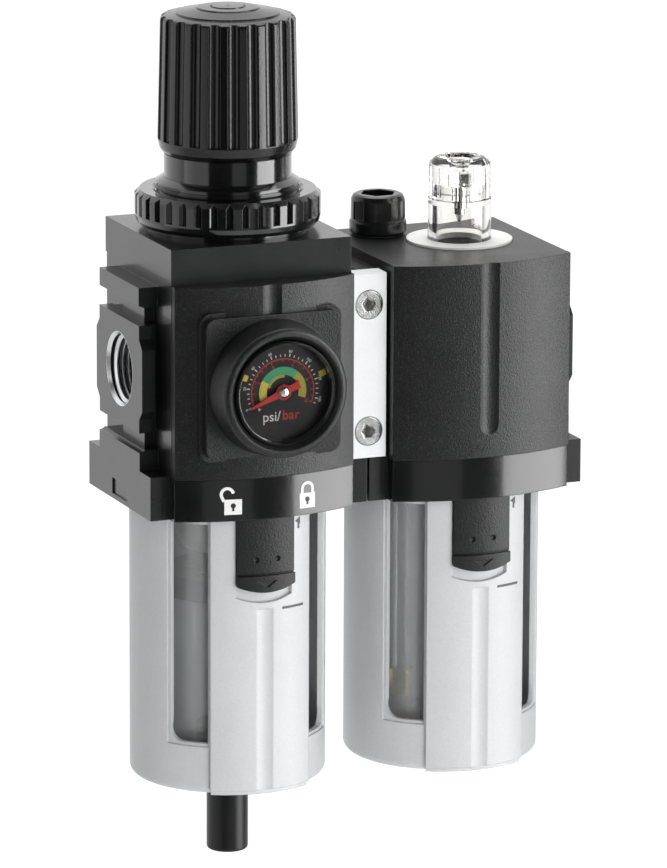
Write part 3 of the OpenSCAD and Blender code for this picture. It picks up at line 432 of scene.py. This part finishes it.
def front_place(x_mm, z_mm, centre, turn=0.0):
    """Place in front of a module's axis: local X to the right, local Y up, local Z to the viewer."""
    face = Matrix(((1, 0, 0), (0, 0, -1), (0, 1, 0))).to_4x4()
    spot = Vector((centre.x + x_mm * MM, 0, z_mm * MM))
    return Matrix.Translation(spot) @ face @ Matrix.Rotation(turn, 4, "Z")


def add_disc(bm, radius_mm, thick_mm, place, segments=24):
    centre = Matrix.Translation((0, 0, thick_mm * MM / 2))
    bmesh.ops.create_cone(bm, cap_ends=True, segments=segments, radius1=radius_mm * MM,
                          radius2=radius_mm * MM, depth=thick_mm * MM, matrix=place @ centre)


def add_lathe(bm, outline_mm, place, steps=64):
    """Solid of revolution about the place's local Z from a closed outline of (radius, height) pairs."""
    verts = [bm.verts.new(place @ Vector((radius * MM, 0, height * MM))) for radius, height in outline_mm]
    count = len(verts)
    edges = [bm.edges.new((verts[i], verts[(i + 1) % count])) for i in range(count)]
    axis = place.to_3x3() @ Vector((0, 0, 1))
    bmesh.ops.spin(bm, geom=verts + edges, cent=place.translation, axis=axis, angle=FULL_TURN,
                   steps=steps, use_merge=True)
    bmesh.ops.remove_doubles(bm, verts=bm.verts, dist=1e-7)
    bmesh.ops.recalc_face_normals(bm, faces=bm.faces)


def dial_matrix(angle, radius_mm, lift_mm=0.0):
    """Place on the gauge face: local X clockwise, local Y outwards, local Z to the viewer."""
    outward = Vector((math.cos(angle), 0, math.sin(angle)))
    viewer = Vector((0, -1, 0))
    along = outward.cross(viewer)
    spot = Vector((GAUGE.x, DIAL_FACE - lift_mm * MM, GAUGE.z)) + outward * radius_mm * MM
    turn = Matrix((along, outward, viewer)).transposed().to_4x4()
    return Matrix.Translation(spot) @ turn


def add_plate(bm, width_mm, height_mm, thick_mm, place):
    """Thin rectangular slab standing on the place's XY plane."""
    size = Matrix.Diagonal((width_mm * MM, height_mm * MM, thick_mm * MM, 1))
    centre = Matrix.Translation((0, 0, thick_mm * MM / 2))
    bmesh.ops.create_cube(bm, size=1, matrix=place @ centre @ size)


def add_swept(bm, corners, centre, axis, angle, steps, advance=(0, 0, 0)):
    """Bar whose outline, four corners in metres, turns about an axis and has a face at each end."""
    verts = [bm.verts.new(corner) for corner in corners]
    edges = [bm.edges.new((verts[i], verts[(i + 1) % 4])) for i in range(4)]
    spun = bmesh.ops.spin(bm, geom=verts + edges, cent=centre, axis=axis, dvec=advance,
                          angle=angle, steps=steps)
    ends = [item for item in spun["geom_last"] if isinstance(item, bmesh.types.BMVert)]
    bmesh.ops.contextual_create(bm, geom=verts)
    bmesh.ops.contextual_create(bm, geom=ends)


def add_arc_band(bm, inner_mm, outer_mm, first, last, thick_mm):
    """Flat band on the gauge face between two angles, swept about the gauge's axis."""
    start = dial_matrix(first, (inner_mm + outer_mm) / 2)
    half = (outer_mm - inner_mm) / 2
    outline = [(0, -half, 0), (0, half, 0), (0, half, thick_mm), (0, -half, thick_mm)]
    corners = [start @ (Vector(corner) * MM) for corner in outline]
    steps = max(2, math.ceil(abs(last - first) / math.radians(3)))
    # Anticlockwise from the front is a negative turn about +Y
    add_swept(bm, corners, (GAUGE.x, 0, GAUGE.z), (0, 1, 0), first - last, steps)


def text_mesh(words, size_mm, thick_mm, bold_mm):
    """Mesh of centred lettering that stands on its own XY plane."""
    curve = bpy.data.curves.new("lettering", "FONT")
    curve.body = words
    curve.size = size_mm * MM
    curve.extrude = thick_mm * MM / 2
    curve.offset = bold_mm * MM
    curve.align_x = "CENTER"
    curve.align_y = "CENTER"
    curve.resolution_u = 3
    holder = bpy.data.objects.new("lettering", curve)
    bpy.context.scene.collection.objects.link(holder)
    bpy.context.view_layer.update()
    evaluated = holder.evaluated_get(bpy.context.evaluated_depsgraph_get())
    mesh = bpy.data.meshes.new_from_object(evaluated)
    bpy.data.objects.remove(holder)
    bpy.data.curves.remove(curve)
    mesh.transform(Matrix.Translation((0, 0, thick_mm * MM / 2)))
    return mesh


def add_text(bm, words, size_mm, thick_mm, place, bold_mm=0.01):
    mesh = text_mesh(words, size_mm, thick_mm, bold_mm)
    mesh.transform(place)
    bm.from_mesh(mesh)
    bpy.data.meshes.remove(mesh)


def printed_finish(name, colour, roughness=0.45):
    """Printing ink with a faint mottle."""
    finish = Finish(name, Roughness=roughness, Metallic=0.0)
    mottle = finish.noise(0.5, 3)
    finish.set("Base Color", finish.blend(mottle, opaque(scaled(colour, 0.86)), opaque(scaled(colour, 1.1))))
    finish.set("Normal", finish.bump(finish.noise(0.25), 0.01, 0.3))
    return finish.material


# ---------- finishes ----------


def enamel(name, colour, roughness, grain_mm, grain_depth, edge_mm, coat=0.0, patch=0.05, gloss=0.5,
           speck=0.0):
    """Black enamel or moulded plastic: fine grain, patches of sheen and soft edges."""
    finish = Finish(name, Metallic=0.0)
    finish.set("Coat Weight", coat)
    finish.set("Coat Roughness", 0.08)
    finish.set("Specular IOR Level", gloss)
    cloud = finish.noise(14, 3)
    grain = finish.noise(grain_mm, 2)
    dust = finish.noise(grain_mm * 0.8, 2, 0.7).smooth(0.52, 0.74)
    dark = opaque(scaled(colour, 0.7))
    light = opaque(scaled(colour, 1.5))
    base = finish.blend(cloud * 0.5 + grain * 0.5, dark, light)
    finish.set("Base Color", finish.blend(dust * (0.3 + speck), base, opaque(scaled(colour, 3 + 14 * speck))))
    finish.set("Roughness", roughness + (cloud - 0.5) * patch * 2 + (grain - 0.5) * 0.08)
    soft = finish.round_edges(edge_mm)
    finish.set("Normal", finish.bump(grain, grain_depth, 1.0, soft))
    return finish.material


def flake_paint(name, colour, edge_mm):
    """Silver-grey paint with fine flake."""
    finish = Finish(name, Metallic=0.06)
    finish.set("Specular IOR Level", 0.32)
    flake = finish.cells(0.22, "Color")
    flake_light = finish.node("ShaderNodeSeparateColor", None, {0: flake}).out(0)
    cloud = finish.noise(20, 3)
    base = finish.blend(cloud, opaque(scaled(colour, 0.94)), opaque(scaled(colour, 1.06)))
    finish.set("Base Color", finish.blend(flake_light * 0.25, base, opaque(scaled(colour, 1.4))))
    finish.set("Roughness", 0.44 + flake_light * 0.14 + (cloud - 0.5) * 0.06)
    grain = finish.noise(0.9, 3)
    finish.set("Normal", finish.bump(grain + flake_light * 0.4, 0.03, 1.0, finish.round_edges(edge_mm)))
    return finish.material


def bare_metal(name, colour, roughness, turned_mm, edge_mm=0.15, mark_depth=0.02):
    """Turned or plated metal with fine tool marks."""
    finish = Finish(name, Metallic=1.0)
    cloud = finish.noise(5, 3)
    marks = finish.noise(turned_mm, 2, stretch=(1, 1, 6))
    finish.set("Base Color", finish.blend(cloud, opaque(scaled(colour, 0.85)), opaque(scaled(colour, 1.1))))
    finish.set("Roughness", roughness + (marks - 0.5) * 0.16 + (cloud - 0.5) * 0.08)
    finish.set("Normal", finish.bump(marks, mark_depth, 0.7, finish.round_edges(edge_mm)))
    return finish.material


def clear_moulding(name, tint, roughness, clarity=1.0):
    """Transparent polycarbonate with faint flow lines."""
    finish = Finish(name, Metallic=0.0, IOR=1.5)
    finish.set("Transmission Weight", clarity)
    flow = finish.noise(9, 2, stretch=(1, 1, 0.25))
    finish.set("Base Color", finish.blend(flow, opaque(tint), opaque(scaled(tint, 1.04))))
    finish.set("Roughness", roughness + (flow - 0.5) * 0.03)
    finish.set("Normal", finish.bump(flow, 0.15, 0.25))
    return finish.material


def plain_moulding(name, colour, roughness, grain_mm, grain_depth, edge_mm=0.3):
    """Opaque plastic, rubber or sintered stock in one colour with a grain."""
    finish = Finish(name, Metallic=0.0)
    cloud = finish.noise(8, 3)
    grain = finish.noise(grain_mm, 3)
    finish.set("Base Color", finish.blend(cloud * 0.5 + grain * 0.5, opaque(scaled(colour, 0.88)),
                                          opaque(scaled(colour, 1.08))))
    finish.set("Roughness", roughness + (grain - 0.5) * 0.12)
    finish.set("Normal", finish.bump(grain, grain_depth, 1.0, finish.round_edges(edge_mm)))
    return finish.material


FINISH_NODES = {
    "body_enamel": ("fr_body",),
    "lubricator_enamel": ("lub_body",),
    "front_texture": ("fr_front_cover", "lub_front_cover"),
    "latch_texture": ("filter_latch", "lub_latch"),
    "collar_gloss": ("fr_collar_cover", "lub_collar_cover"),
    "bonnet_gloss": ("bonnet", "panel_nut"),
    "knob_satin": ("adjusting_knob", "knob_cap"),
    "plug_gloss": ("fill_plug",),
    "drain_black": ("drain_body", "drain_nut", "drain_tube", "deflector", "element_baffle"),
    "gauge_gloss": ("gauge_case", "gauge_ring"),
    "guard_paint": ("filter_guard", "lub_guard"),
    "clamp_paint": ("clamp_front", "clamp_rear"),
    "clear_bowl": ("filter_bowl", "lub_bowl"),
    "clear_dome": ("sight_dome", "drip_knob"),
    "gauge_crystal": ("gauge_glass",),
    "clear_tube": ("siphon_tube",),
    "white_ring": ("dome_ring",),
    "acetal": ("valve_retainer", "flow_guide"),
    "sintered": ("filter_element",),
    "nitrile": ("diaphragm", "valve_poppet", "filter_bowl_oring", "lub_bowl_oring", "fill_plug_oring",
                "module_gasket"),
    "dial_black": ("gauge_dial",),
    "needle_red": ("gauge_needle",),
    "marker_yellow": ("gauge_markers",),
    "turned_brass": ("spring_nut", "valve_seat", "valve_stem", "drain_stem", "gauge_pinion", "gauge_sector",
                     "gauge_movement", "bourdon_tube", "siphon_strainer"),
    "spring_steel": ("range_spring", "valve_spring", "drain_spring"),
    "bright_steel": ("adjusting_screw", "drip_needle", "check_ball"),
    "screw_plate": ("clamp_screws",),
    "cast_aluminium": ("diaphragm_plate",),
}


def make_finishes(look):
    edge = look.edge_radius
    body = tuple(look.body_black)
    moulding = tuple(look.moulding_black)
    return {
        "body_enamel": enamel("body_enamel", body, 0.3, 0.7, 0.02, edge, coat=0.3, gloss=0.4),
        "lubricator_enamel": enamel("lubricator_enamel", body, 0.42, 0.6, 0.03, edge, coat=0.1, gloss=0.3),
        "front_texture": enamel("front_texture", scaled(moulding, 0.8), 0.4, 0.5, 0.12,
            edge, gloss=0.4, speck=0.5),
        "latch_texture": enamel("latch_texture", moulding, 0.44, 0.6, 0.12, edge, gloss=0.35, speck=0.15),
        "collar_gloss": enamel("collar_gloss", scaled(body, 0.8), 0.2, 1.2, 0.012,
            edge * 1.6, coat=0.4, gloss=0.4),
        "bonnet_gloss": enamel("bonnet_gloss", scaled(body, 0.7), 0.14, 1.0, 0.006, edge * 0.6, coat=0.5),
        "knob_satin": enamel("knob_satin", scaled(moulding, 0.6), 0.2, 0.6, 0.03,
            edge, gloss=0.5, speck=0.02),
        "plug_gloss": enamel("plug_gloss", scaled(body, 0.8), 0.22, 0.8, 0.015, edge),
        "drain_black": enamel("drain_black", scaled(moulding, 0.8), 0.36, 0.5, 0.02, edge, gloss=0.3),
        "gauge_gloss": enamel("gauge_gloss", scaled(body, 0.7), 0.1, 1.0, 0.004, 0.2, coat=0.6),
        "guard_paint": flake_paint("guard_paint", tuple(look.guard_silver), edge * 1.4),
        "clamp_paint": plain_moulding("clamp_paint", tuple(look.clamp_white), 0.42, 0.6, 0.02),
        "clear_bowl": clear_moulding("clear_bowl", (0.94, 0.96, 0.965), 0.05, 0.78),
        "clear_dome": clear_moulding("clear_dome", (0.955, 0.95, 0.93), 0.03),
        "gauge_crystal": clear_moulding("gauge_crystal", (0.98, 0.98, 0.98), 0.02),
        "clear_tube": clear_moulding("clear_tube", (0.9, 0.91, 0.9), 0.2),
        "white_ring": plain_moulding("white_ring", (0.93, 0.93, 0.92), 0.42, 0.8, 0.01),
        "acetal": plain_moulding("acetal", (0.72, 0.7, 0.62), 0.45, 0.6, 0.02),
        "sintered": plain_moulding("sintered", (0.78, 0.78, 0.74), 0.85, 0.35, 0.12),
        "nitrile": plain_moulding("nitrile", (0.02, 0.02, 0.02), 0.62, 0.4, 0.03),
        "dial_black": plain_moulding("dial_black", (0.007, 0.007, 0.008), 0.4, 0.4, 0.01, 0.05),
        "needle_red": plain_moulding("needle_red", (0.6, 0.03, 0.025), 0.35, 0.5, 0.01, 0.08),
        "marker_yellow": plain_moulding("marker_yellow", (0.72, 0.56, 0.06), 0.4, 0.5, 0.01, 0.08),
        "turned_brass": bare_metal("turned_brass", (0.66, 0.48, 0.2), 0.28, 0.5),
        "spring_steel": bare_metal("spring_steel", (0.48, 0.49, 0.5), 0.33, 0.4),
        "bright_steel": bare_metal("bright_steel", (0.72, 0.72, 0.7), 0.18, 0.6),
        "screw_plate": bare_metal("screw_plate", (0.93, 0.93, 0.91), 0.24, 0.8, 0.3, 0.004),
        "cast_aluminium": bare_metal("cast_aluminium", (0.62, 0.63, 0.65), 0.4, 0.8),
    }


class FRL_OT_finishes(Operator):
    """Give every CAD node its procedural finish"""

    bl_idname = "frl.finishes"
    bl_label = "Finishes"

    def execute(self, context):
        made = make_finishes(context.scene.frl.finishes)
        for finish_name, nodes in FINISH_NODES.items():
            for node in nodes:
                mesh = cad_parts[node].data
                mesh.materials.clear()
                mesh.materials.append(made[finish_name])
        covered = {node for nodes in FINISH_NODES.values() for node in nodes}
        bare = sorted(set(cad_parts) - covered)
        if bare:
            raise RuntimeError("nodes without a finish: " + ", ".join(bare))
        return {"FINISHED"}


# ---------- springs ----------


SPRINGS = (
    # Piece, packed spring, joint that presses it, that joint's travel in mm, and the end that stays put
    ("range_coil", "range_spring", "spring_nut_travel", 7.5, "low"),
    ("valve_coil", "valve_spring", "valve_lift", 1.3, "low"),
    ("drain_coil", "drain_spring", "drain_push", 3.0, "high"),
)


class FRL_OT_springs(Operator):
    """Make the three springs shorten as their joints press them"""

    bl_idname = "frl.springs"
    bl_label = "Springs"
    # Copy the three springs into pieces of their own and hide the packed springs

    def execute(self, context):
        steel = bpy.data.materials["spring_steel"]
        for name, node, joint, travel_mm, fixed_end in SPRINGS:
            coil = bmesh.new()
            coil.from_mesh(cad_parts[node].data)
            coil.transform(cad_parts[node].matrix_world)
            bmesh.ops.remove_doubles(coil, verts=coil.verts, dist=1e-6)
            made = piece_from(coil, name, "housing" if node != "drain_spring" else "filter_bowl_unit",
                              steel, 40)
            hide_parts(node)
            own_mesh(made)
        return {"FINISHED"}


# ---------- gauge face ----------


class FRL_OT_dial(Operator):
    """Print the gauge's two scales, zones and lettering"""

    bl_idname = "frl.dial"
    bl_label = "Gauge Face"

    def execute(self, context):
        dial = context.scene.frl.dial
        ink = 0.06
        per_bar = dial.sweep / dial.full_bar
        per_psi = per_bar / dial.psi_per_bar

        def at(turned):
            return dial.zero_angle - turned

        white = bmesh.new()
        last_psi = math.floor(dial.full_bar * dial.psi_per_bar / 5) * 5
        for psi in range(0, last_psi + 1, 5):
            long_tick = psi % 20 == 0
            height = 1.0 if long_tick else 0.75
            add_plate(white, 0.34 if long_tick else 0.26, height, ink,
                      dial_matrix(at(psi * per_psi), dial.outer_radius + height / 2))
            if long_tick:
                add_text(white, str(psi), 1.15, ink, dial_matrix(at(psi * per_psi), dial.outer_radius + 1.62))
        low_left = Vector((GAUGE.x - 3.45 * MM, DIAL_FACE, GAUGE.z - 7.3 * MM))
        flat = Matrix(((1, 0, 0), (0, 0, -1), (0, 1, 0))).to_4x4()
        add_text(white, "psi/", 4.1, ink, Matrix.Translation(low_left) @ flat, 0.02)
        piece_from(white, "outer_scale", "housing",
                   printed_finish("ink_white", tuple(dial.white)))

        red = bmesh.new()
        add_arc_band(red, dial.inner_radius - 0.17, dial.inner_radius + 0.17, at(0), at(dial.sweep), ink)
        for half in range(0, dial.full_bar * 2 + 1):
            whole = half % 2 == 0
            height = 0.9 if whole else 0.6
            add_plate(red, 0.32 if whole else 0.22, height, ink,
                      dial_matrix(at(half * per_bar / 2), dial.inner_radius - height / 2))
        for bar in range(0, dial.full_bar + 1, 2):
            add_text(red, str(bar), 1.45, ink, dial_matrix(at(bar * per_bar), dial.inner_radius - 1.75))
        low_right = Vector((GAUGE.x + 2.6 * MM, DIAL_FACE, GAUGE.z - 7.15 * MM))
        add_text(red, "bar", 4.1, ink, Matrix.Translation(low_right) @ flat, 0.02)
        piece_from(red, "inner_scale", "housing", printed_finish("ink_red", tuple(dial.red)))

        zones = (
            ("low_zone", dial.yellow, 4, 53),
            ("working_zone", dial.green, 53, 153),
            ("high_zone", dial.olive, 153, 221),
        )
        for name, colour, first, last in zones:
            band = bmesh.new()
            start, end = at(math.radians(first)), at(math.radians(last))
            add_arc_band(band, dial.zone_inner, dial.zone_outer, start, end, ink * 0.6)
            piece_from(band, name, "housing", printed_finish("ink_" + name, tuple(colour)))
        band = bmesh.new()
        add_arc_band(band, dial.zone_inner - 0.8, dial.zone_inner - 0.02, at(math.radians(40)),
                     at(math.radians(120)), ink * 0.6)
        piece_from(band, "inner_zone", "housing",
                   printed_finish("ink_inner_zone", tuple(dial.olive)))

        pin = bmesh.new()
        spot = dial_matrix(at(-math.radians(7)), dial.inner_radius - 0.7)
        bmesh.ops.create_cone(pin, cap_ends=True, segments=24, radius1=0.45 * MM, radius2=0.4 * MM,
                              depth=1.5 * MM, matrix=spot @ Matrix.Translation((0, 0, 0.75 * MM)))
        piece_from(pin, "zero_stop", "housing",
                   bare_metal("stop_pin", (0.75, 0.72, 0.66), 0.25, 0.3), 30)
        cap = bmesh.new()
        hub_front = (DIAL_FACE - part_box("gauge_needle")[0].y) / MM
        face = dial_matrix(math.radians(90), 0, hub_front - 0.05)
        add_lathe(cap, [(0.01, 0), (1.66, 0), (1.66, 0.28), (1.45, 0.5), (0.9, 0.62), (0.01, 0.66)], face, 48)
        piece_from(cap, "needle_cap", "gauge_needle",
                   bare_metal("needle_cap_plate", (0.82, 0.82, 0.8), 0.2, 0.4), 35)
        return {"FINISHED"}


# ---------- marks and threads ----------


def add_padlock(white, dark, x_mm, z_mm, centre, ink, is_open):
    """Generic padlock mark: body with a keyhole, and a bow that is shut or swung open."""
    body_w, body_h, bow_r, bow_t = 5.2, 4.6, 1.75, 0.9
    add_plate(white, body_w, body_h, ink, front_place(x_mm, z_mm - body_h / 2, centre))
    bow_x = x_mm - (bow_r if is_open else 0)
    bow_z = z_mm + (1.6 if is_open else 1.3)
    turn = math.radians(24 if is_open else 0)
    pivot = front_place(bow_x, bow_z, centre, turn)
    inner, outer = bow_r - bow_t / 2, bow_r + bow_t / 2
    outline = [(inner, 0, 0), (outer, 0, 0), (outer, 0, ink), (inner, 0, ink)]
    corners = [pivot @ (Vector(corner) * MM) for corner in outline]
    add_swept(white, corners, pivot.translation, (0, -1, 0), math.pi, 14)
    for side in (-1, 1):
        leg = 1.6 if side == -1 or not is_open else 0.5
        place = pivot @ Matrix.Translation((side * bow_r * MM, -leg / 2 * MM, 0))
        add_plate(white, bow_t, leg, ink, place)
    add_disc(dark, 0.75, ink, front_place(x_mm, z_mm - 1.9, centre))
    add_plate(dark, 0.6, 1.5, ink, front_place(x_mm, z_mm - 2.7, centre))


def guard_place(centre, radius_mm, degrees, z_mm):
    """Place on a guard's front pad: local X round the guard, local Y up, local Z outwards."""
    angle = math.radians(degrees)
    outward = Vector((math.sin(angle), -math.cos(angle), 0))
    up = Vector((0, 0, 1))
    along = up.cross(outward)
    spot = Vector((centre.x, 0, z_mm * MM)) + outward * radius_mm * MM
    return Matrix.Translation(spot) @ Matrix((along, up, outward)).transposed().to_4x4()


class FRL_OT_marks(Operator):
    """Print the lock marks on the collar and the level marks on the guards"""

    bl_idname = "frl.marks"
    bl_label = "Marks"

    def execute(self, context):
        ink = 0.1
        white = bmesh.new()
        dark = bmesh.new()
        for x_mm, is_open in ((-11.7, True), (11.7, False)):
            add_padlock(white, dark, x_mm, -33.9, REGULATOR, ink, is_open)
        snap_to_face(white, "fr_collar_cover", 0.02)
        snap_to_face(dark, "fr_collar_cover", 0.02 + ink)
        piece_from(white, "lock_marks", "housing",
                   printed_finish("ink_lock", (0.86, 0.86, 0.85)))
        piece_from(dark, "keyhole_marks", "housing",
                   printed_finish("ink_keyhole", (0.01, 0.01, 0.01)))

        finish = printed_finish("ink_level", (0.035, 0.036, 0.038))
        for name, body, node, centre in (
            ("filter_level_mark", "filter_bowl_unit", "filter_guard", REGULATOR),
            ("lubricator_level_mark", "lub_bowl_unit", "lub_guard", LUBRICATOR),
        ):
            pad_mm = (centre.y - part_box(node)[0].y) / MM + 0.01
            mark = bmesh.new()
            for degrees in range(11, 26):
                add_plate(mark, 0.56, 0.75, ink * 0.6, guard_place(centre, pad_mm, degrees, -69.3))
            arrow = guard_place(centre, pad_mm + 0.02, 21.7, -43.6)
            add_plate(mark, 0.7, 1.9, ink * 0.6, arrow @ Matrix.Translation((0, -0.0014, 0)))
            bmesh.ops.create_cone(mark, cap_ends=True, segments=3, radius1=1.35 * MM, radius2=1.35 * MM,
                                  depth=ink * 0.6 * MM, matrix=arrow @ Matrix.Rotation(math.pi / 2, 4, "Z"))
            piece_from(mark, name, body, finish)
        return {"FINISHED"}


class FRL_OT_threads(Operator):
    """Cut the bright pipe threads in the two ports"""

    bl_idname = "frl.threads"
    bl_label = "Port Threads"

    def execute(self, context):
        pitch, root, crest, turns, steps = 1.814, 10.44, 9.35, 6, 56
        finish = bare_metal("machined_port", (0.74, 0.75, 0.76), 0.24, 0.35)
        low, high = CAD_BOX
        for name, mouth_x, inward in (("inlet_thread", low[0], 1), ("outlet_thread", high[0], -1)):
            bm = bmesh.new()
            mouth = Vector((mouth_x, 0, 0))
            lead = 1.6 * MM * inward
            outline = [(-0.85, root), (-0.12, crest), (0.12, crest), (0.85, root)]
            corners = [
                mouth + Vector((lead + along * MM * inward, 0, radius * MM)) for along, radius in outline
            ]
            step = Vector((pitch * MM * inward / steps, 0, 0))
            add_swept(bm, corners, mouth, (1, 0, 0), FULL_TURN * turns, steps * turns, step)
            face = Matrix.Rotation(math.pi / 2 * inward, 4, "Y")
            add_lathe(bm, [(11.16, 0.03), (11.0, 0.02), (10.2, 1.1), (10.44, 1.25)],
                      Matrix.Translation(mouth) @ face, 96)
            piece_from(bm, name, "housing", finish, 40)
        return {"FINISHED"}


# ---------- stage ----------


def look_at(eye, target):
    return (Vector(target) - Vector(eye)).to_track_quat("-Z", "Y").to_matrix().to_4x4()


def add_softbox(name, target, bearing, height, distance, size, radiance):
    """Rectangular soft light that faces target.

    Bearing is in degrees from the front towards the right, and height in degrees above level.
    A light whose name ends in shine is mirrored and passes through clear pieces, and one that ends in wash
    only falls on matt faces.
    """
    width, tall = size
    turned = math.radians(bearing)
    raised = math.radians(height)
    flat = distance * math.cos(raised)
    place = target + Vector((flat * math.sin(turned), -flat * math.cos(turned), distance * math.sin(raised)))
    lamp = bpy.data.lights.new(name, "AREA")
    lamp.shape = "RECTANGLE"
    lamp.size = width
    lamp.size_y = tall
    lamp.energy = radiance * math.pi * width * tall
    holder = bpy.data.objects.new(name, lamp)
    bpy.context.scene.collection.objects.link(holder)
    holder.matrix_world = Matrix.Translation(place) @ look_at(place, target)
    holder.visible_diffuse = name.endswith("wash")
    holder.visible_glossy = name.endswith("shine")
    holder.visible_transmission = name.endswith("shine")


def studio_world(stage):
    """White behind the unit and dim in front of it, as in a tent that is open at the front."""
    world = bpy.data.worlds.new("studio")
    world.use_nodes = True
    tree = world.node_tree
    background = tree.nodes["Background"]
    direction = tree.nodes.new("ShaderNodeTexCoord")
    parts = tree.nodes.new("ShaderNodeSeparateXYZ")
    fade = tree.nodes.new("ShaderNodeMapRange")
    seen = tree.nodes.new("ShaderNodeLightPath")
    plain = tree.nodes.new("ShaderNodeMath")
    fade.interpolation_type = "SMOOTHSTEP"
    fade.inputs["From Min"].default_value = -0.25
    fade.inputs["From Max"].default_value = 0.65
    fade.inputs["To Min"].default_value = stage.front_glow
    fade.inputs["To Max"].default_value = stage.back_glow
    plain.operation = "MAXIMUM"
    tree.links.new(direction.outputs["Generated"], parts.inputs[0])
    tree.links.new(parts.outputs["Y"], fade.inputs["Value"])
    tree.links.new(fade.outputs[0], plain.inputs[0])
    tree.links.new(seen.outputs["Is Camera Ray"], plain.inputs[1])
    tree.links.new(plain.outputs[0], background.inputs["Strength"])
    background.inputs["Color"].default_value = (1, 1, 1, 1)
    return world


class FRL_OT_stage(Operator):
    """Add the floor, the soft studio light and the camera"""

    bl_idname = "frl.stage"
    bl_label = "Stage"

    def execute(self, context):
        stage = context.scene.frl.stage
        scene = context.scene
        low, high = CAD_BOX
        centre = Vector(((low[0] + high[0]) / 2, 0, (low[2] + high[2]) / 2))

        table = bmesh.new()
        bmesh.ops.create_circle(table, cap_ends=True, segments=128, radius=stage.floor_radius)
        bmesh.ops.translate(table, verts=table.verts, vec=(centre.x, 0, low[2] - stage.floor_drop))
        mesh = bpy.data.meshes.new("floor")
        table.to_mesh(mesh)
        table.free()
        floor = bpy.data.objects.new("floor", mesh)
        scene.collection.objects.link(floor)
        finish = Finish("studio_floor", Roughness=0.6)
        shade = finish.noise(300, 2)
        finish.set("Base Color", finish.blend(shade, (0.86, 0.86, 0.86, 1), (0.89, 0.89, 0.89, 1)))
        mesh.materials.append(finish.material)

        scene.world = studio_world(stage)
        scene.view_settings.view_transform = "Standard"
        add_softbox("key_shine", centre, 51, 7, 1.5, (1.05, 1.9), stage.key_shine)
        add_softbox("key_wash", centre, 51, 7, 1.5, (1.05, 1.9), stage.key_wash)
        add_softbox("fill_shine", centre, -81, 5, 1.4, (1.3, 1.6), stage.fill_shine)
        add_softbox("fill_wash", centre, -81, 5, 1.4, (1.3, 1.6), stage.fill_wash)
        add_softbox("front_shine", centre, -2, -5, 1.6, (0.7, 1.3), stage.front_shine)
        add_softbox("front_wash", centre, 4, 5, 1.6, (1.2, 1.6), stage.front_wash)
        add_softbox("top_shine", centre, 150, 72, 1.3, (0.9, 0.9), stage.top_shine)
        add_softbox("top_wash", centre, 150, 72, 1.3, (0.9, 0.9), stage.top_wash)

        forward = Vector((
            math.sin(stage.azimuth) * math.cos(stage.pitch),
            math.cos(stage.azimuth) * math.cos(stage.pitch),
            -math.sin(stage.pitch),
        ))
        right = Vector((math.cos(stage.azimuth), -math.sin(stage.azimuth), 0))
        up = right.cross(forward)
        right_rolled = right * math.cos(stage.roll) + up * math.sin(stage.roll)
        up_rolled = up * math.cos(stage.roll) - right * math.sin(stage.roll)
        target = Vector(AIM_POINT)
        camera = bpy.data.cameras.new("camera")
        camera.lens = stage.lens
        camera.clip_end = 50
        holder = bpy.data.objects.new("camera", camera)
        scene.collection.objects.link(holder)
        turn = Matrix((right_rolled, up_rolled, -forward)).transposed().to_4x4()
        holder.matrix_world = Matrix.Translation(target - forward * stage.distance) @ turn
        scene.camera = holder
        return {"FINISHED"}


# ---------- panel and registration ----------


OPERATORS = (FRL_OT_finishes, FRL_OT_springs, FRL_OT_dial, FRL_OT_marks, FRL_OT_threads, FRL_OT_stage)
GROUPS = (FRL_PG_finishes, FRL_PG_dial, FRL_PG_stage, FRL_PG_settings)


class FRL_PT_unit(Panel):
    """Buttons for each part of the unit's look"""

    bl_idname = "FRL_PT_unit"
    bl_label = "Air Service Unit"
    bl_space_type = "VIEW_3D"
    bl_region_type = "UI"
    bl_category = "Air Service Unit"

    def draw(self, context):
        for operator in OPERATORS:
            self.layout.operator(operator.bl_idname)


def register():
    for cls in (*GROUPS, *OPERATORS, FRL_PT_unit):
        bpy.utils.register_class(cls)
    bpy.types.Scene.frl = PointerProperty(type=FRL_PG_settings)


def unregister():
    del bpy.types.Scene.frl
    for cls in reversed((*GROUPS, *OPERATORS, FRL_PT_unit)):
        bpy.utils.unregister_class(cls)


def main():
    register()
    bpy.ops.frl.stage()
    bpy.ops.frl.finishes()
    bpy.ops.frl.springs()
    bpy.ops.frl.dial()
    bpy.ops.frl.marks()
    bpy.ops.frl.threads()


if __name__ == "__main__":
    main()
